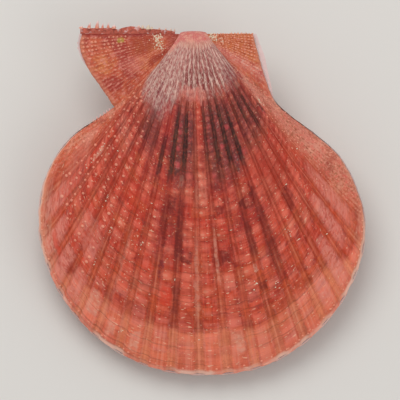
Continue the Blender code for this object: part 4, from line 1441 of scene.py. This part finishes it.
# %% Rows, crusts and flecks
# First line, last line, step; first and last stage; spacing, width, length, height in mm; share.
BEAD_ROWS = [
    (-29, -26, 1, 0.6, 1.0, 1.05, 0.7, 0.62, 0.4, 0.95),
    (-25, -24, 1, 0.5, 0.97, 1.15, 0.5, 0.55, 0.3, 0.8),
    (-29, -25, 1, 0.25, 0.5, 1.1, 0.3, 0.4, 0.3, 0.7),
    (-24, -13, 1, 0.3, 0.8, 1.0, 0.3, 0.45, 0.25, 0.4),
    (15, 25, 1, 0.35, 0.97, 0.85, 0.55, 0.6, 0.36, 0.9),
    (-10.1, -9.5, 0.6, 0.4, 0.86, 1.8, 0.9, 0.8, 0.6, 0.85),
    (-9, -8, 0.5, 0.34, 0.86, 1.85, 1.0, 0.9, 0.65, 0.9),
    (-7, -6, 1, 0.36, 0.88, 1.9, 1.0, 0.85, 0.5, 0.85),
    (-5, -4, 1, 0.4, 0.86, 1.9, 0.5, 0.5, 0.3, 0.6),
    (6, 8, 1, 0.35, 0.8, 1.9, 0.5, 0.5, 0.3, 0.6),
    (8.5, 11, 0.31, 0.25, 0.97, 1.1, 0.35, 0.42, 0.3, 0.6),
    (-10.9, -10.3, 0.2, 0.4, 0.97, 1.3, 0.35, 0.5, 0.35, 0.8),
    (-9.5, 9.5, 0.2, 0.985, 0.987, 1.0, 0.6, 0.5, 0.3, 0.6),
]
# Line, stage, spread in lines and in mm, number of grains, size in mm.
CRUSTS = [
    (-27, 0.31, 2.0, 0.7, 50, 0.34), (-20.5, 0.33, 2.8, 0.6, 44, 0.3),
    (21.5, 0.33, 2.2, 0.55, 44, 0.4), (20.5, 0.46, 1.0, 0.25, 12, 0.36),
    (-6.5, 0.655, 0.05, 0.9, 6, 0.3), (-5.5, 0.705, 0.05, 1.5, 8, 0.3),
    (-3.55, 0.68, 0.04, 1.2, 7, 0.3), (-5.65, 0.83, 0.05, 0.8, 5, 0.3),
    (-3.6, 0.94, 0.05, 0.6, 5, 0.3), (4.65, 0.705, 0.05, 1.0, 6, 0.3),
    (8.7, 0.405, 0.1, 0.8, 7, 0.3), (-8.85, 0.62, 0.05, 2.0, 8, 0.3),
    (3.1, 0.8, 0.05, 0.5, 4, 0.3), (2.2, 0.77, 0.06, 0.5, 5, 0.35),
]
# Line, stage, width and length in mm.
FLECKS = [
    (5.0, 0.745, 0.7, 0.25), (5.9, 0.6, 0.6, 0.25), (8.4, 0.62, 0.5, 0.3),
    (-1.6, 0.735, 0.3, 0.6), (-3.5, 0.55, 0.5, 0.25), (1.5, 0.6, 0.7, 0.2),
    (-7.5, 0.52, 0.6, 0.25), (6.5, 0.83, 0.6, 0.25), (-0.5, 0.9, 0.5, 0.25),
]
BEAD_SEED = 7


def bead_facts(outline, rows, crusts, flecks):
    """Facts of every bead: its growth line's, its stage, its size, and whether it is lime."""
    random = np.random.default_rng(BEAD_SEED)
    beads = []
    for first, last, step, start, end, spacing, width, length, height, kept in rows:
        for line in np.arange(first, last + step / 2, step):
            reach = np.linalg.norm(line_facts(outline, [line])["margin"])
            stages = np.arange(start, end, spacing * MM / reach)
            stages = stages + random.normal(0, 0.12 * spacing * MM / reach, len(stages))
            for stage in stages[random.random(len(stages)) < kept]:
                grown = random.uniform(0.65, 1.15) * stage**0.35
                aside = random.normal(0, 0.03)
                size = np.array([width, length, height]) * grown
                beads.append((line + aside, stage, *size, 0.0))
    for line, stage, lines, spread, grains, size in crusts:
        reach = np.linalg.norm(line_facts(outline, [line])["margin"])
        for _ in range(grains):
            away = random.normal(0, spread * MM / reach)
            sizes = size * random.uniform(0.5, 1.3, 3) * (1, 1, 0.5)
            beads.append((line + random.normal(0, lines), stage + away, *sizes, 1.0))
    beads += [(line, stage, width, length, 0.3, 1.0) for line, stage, width, length in flecks]
    line, stage, width, length, height, lime = np.array(beads).T
    facts = line_facts(outline, line)
    facts["stage"] = np.clip(stage, 0.05, 0.995)
    facts["size"] = np.stack([width, length, height], axis=1) * MM
    return facts | {"lime": lime}


bead_group = bead_tree()
facts = bead_facts(left_outline, BEAD_ROWS, CRUSTS, FLECKS)
grow("left_valve_beads", "left_valve", bead_group, facts, Material=left_bead_calcite)
facts = bead_facts(right_outline, BEAD_ROWS, CRUSTS[:1], FLECKS[:2])
values = {"Side": -1.0, "Rib Shift": 0.5, "Material": right_bead_calcite}
grow("right_valve_beads", "right_valve", bead_group, facts, **values)

# %% [markdown]
# ## The ligament
#
# Inside the hinge the two valves are held apart by a pad of horny protein, dark brown and
# slightly glossy where it has dried. Its solid already has the right shape, so it only gets a
# finish: fibres that run from valve to valve, as fine as a hair, drawn a little coarser here.

# %% Horny ligament
FIBRE_MM = 0.25
FIBRE_STRETCH = (1.0, 1.0, 0.15)
FIBRE_RELIEF = 0.05 * MM
HORN_ROUGHNESS = 0.4
HORN_IOR = 1.55
HORN_COLOURS = {"horn": linear("2A170F"), "fibre": linear("5E3A22")}
horn = bpy.data.materials.new("dried_ligament_horn")
horn.use_nodes = True
tree = horn.node_tree
shader = tree.nodes["Principled BSDF"]
place = add(tree, "TexCoord").outputs["Object"]
along_fibres = add(tree, "VectorMath MULTIPLY", place, FIBRE_STRETCH)
fibres = add(tree, "TexNoise", along_fibres, 1 / (FIBRE_MM * MM), 2.0, 0.6)
brown = coated(tree, HORN_COLOURS, HORN_COLOURS["horn"], ("fibre", (fibres, 0.35, 0.65)))
tree.links.new(live(brown), shader.inputs["Base Color"])
raised = add(tree, "Math MULTIPLY", fibres, FIBRE_RELIEF)
bump = add(tree, "Bump", 1.0, 1.0, None, raised)
tree.links.new(bump.outputs["Normal"], shader.inputs["Normal"])
shader.inputs["Roughness"].default_value = HORN_ROUGHNESS
shader.inputs["IOR"].default_value = HORN_IOR
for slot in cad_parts["ligament"].material_slots:
    slot.material = horn
print("ligament slots:", len(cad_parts["ligament"].material_slots))

# %% [markdown]
# ## Camera, floor and light
#
# The shell is seen square to its hinge line and rim, from far away, as a specimen is. It lies on
# pale matt paper. The light is a big soft one from above the hinge with weak fill all round, so
# that the relief shows without hard shadows.

# %% Camera
PLANE_CENTRE = Vector((1.75, -41.5, 0.0)) * MM
VIEW_WIDTH = 100 * MM
LENS_MM = 400.0
SENSOR_MM = 36.0
camera_data = bpy.data.cameras.new("camera")
camera_data.lens = LENS_MM
camera_data.clip_end = 20
camera = bpy.data.objects.new("camera", camera_data)
camera.rotation_euler = REST_TURN
distance = VIEW_WIDTH * LENS_MM / SENSOR_MM
camera.location = BEAK_AT + REST_TURN.to_matrix() @ (PLANE_CENTRE + Vector((0, 0, distance)))
bpy.context.scene.collection.objects.link(camera)
bpy.context.scene.camera = camera

# %% Floor
FLOOR_RADIUS = 4.0
PAPER_ROUGHNESS = 0.9
floor_mesh = bpy.data.meshes.new("floor")
disc = bmesh.new()
bmesh.ops.create_circle(disc, cap_ends=True, segments=96, radius=FLOOR_RADIUS)
disc.to_mesh(floor_mesh)
disc.free()
floor = bpy.data.objects.new("floor", floor_mesh)
bpy.context.scene.collection.objects.link(floor)
paper = bpy.data.materials.new("matt_paper")
paper.use_nodes = True
sheet = paper.node_tree.nodes["Principled BSDF"]
sheet.inputs["Base Color"].default_value = linear("D8D4CE")
sheet.inputs["Roughness"].default_value = PAPER_ROUGHNESS
floor_mesh.materials.append(paper)

# %% Light
# Where each soft light stands, in metres, and its size and power.
KEY_LIGHT = ((-0.15, 0.3, 0.6), 0.5, 2.0)
FILL_LIGHT = ((0.4, -0.3, 0.5), 0.5, 0.6)
SKY_COLOUR = (0.97, 0.98, 1.0, 1.0)
SKY_STRENGTH = 0.62
world = bpy.data.worlds.new("studio")
bpy.context.scene.world = world
world.use_nodes = True
sky = world.node_tree.nodes["Background"]
sky.inputs["Color"].default_value = SKY_COLOUR
sky.inputs["Strength"].default_value = SKY_STRENGTH


def soft_light(name, place, size, power):
    """A round area light that faces the middle of the shell."""
    data = bpy.data.lights.new(name, "AREA")
    data.shape = "DISK"
    data.size = size
    data.energy = power
    light = bpy.data.objects.new(name, data)
    light.location = place
    light.rotation_euler = (-Vector(place)).to_track_quat("-Z", "Y").to_euler()
    bpy.context.scene.collection.objects.link(light)


soft_light("key", *KEY_LIGHT)
soft_light("fill", *FILL_LIGHT)
bpy.context.scene.view_settings.view_transform = "Standard"
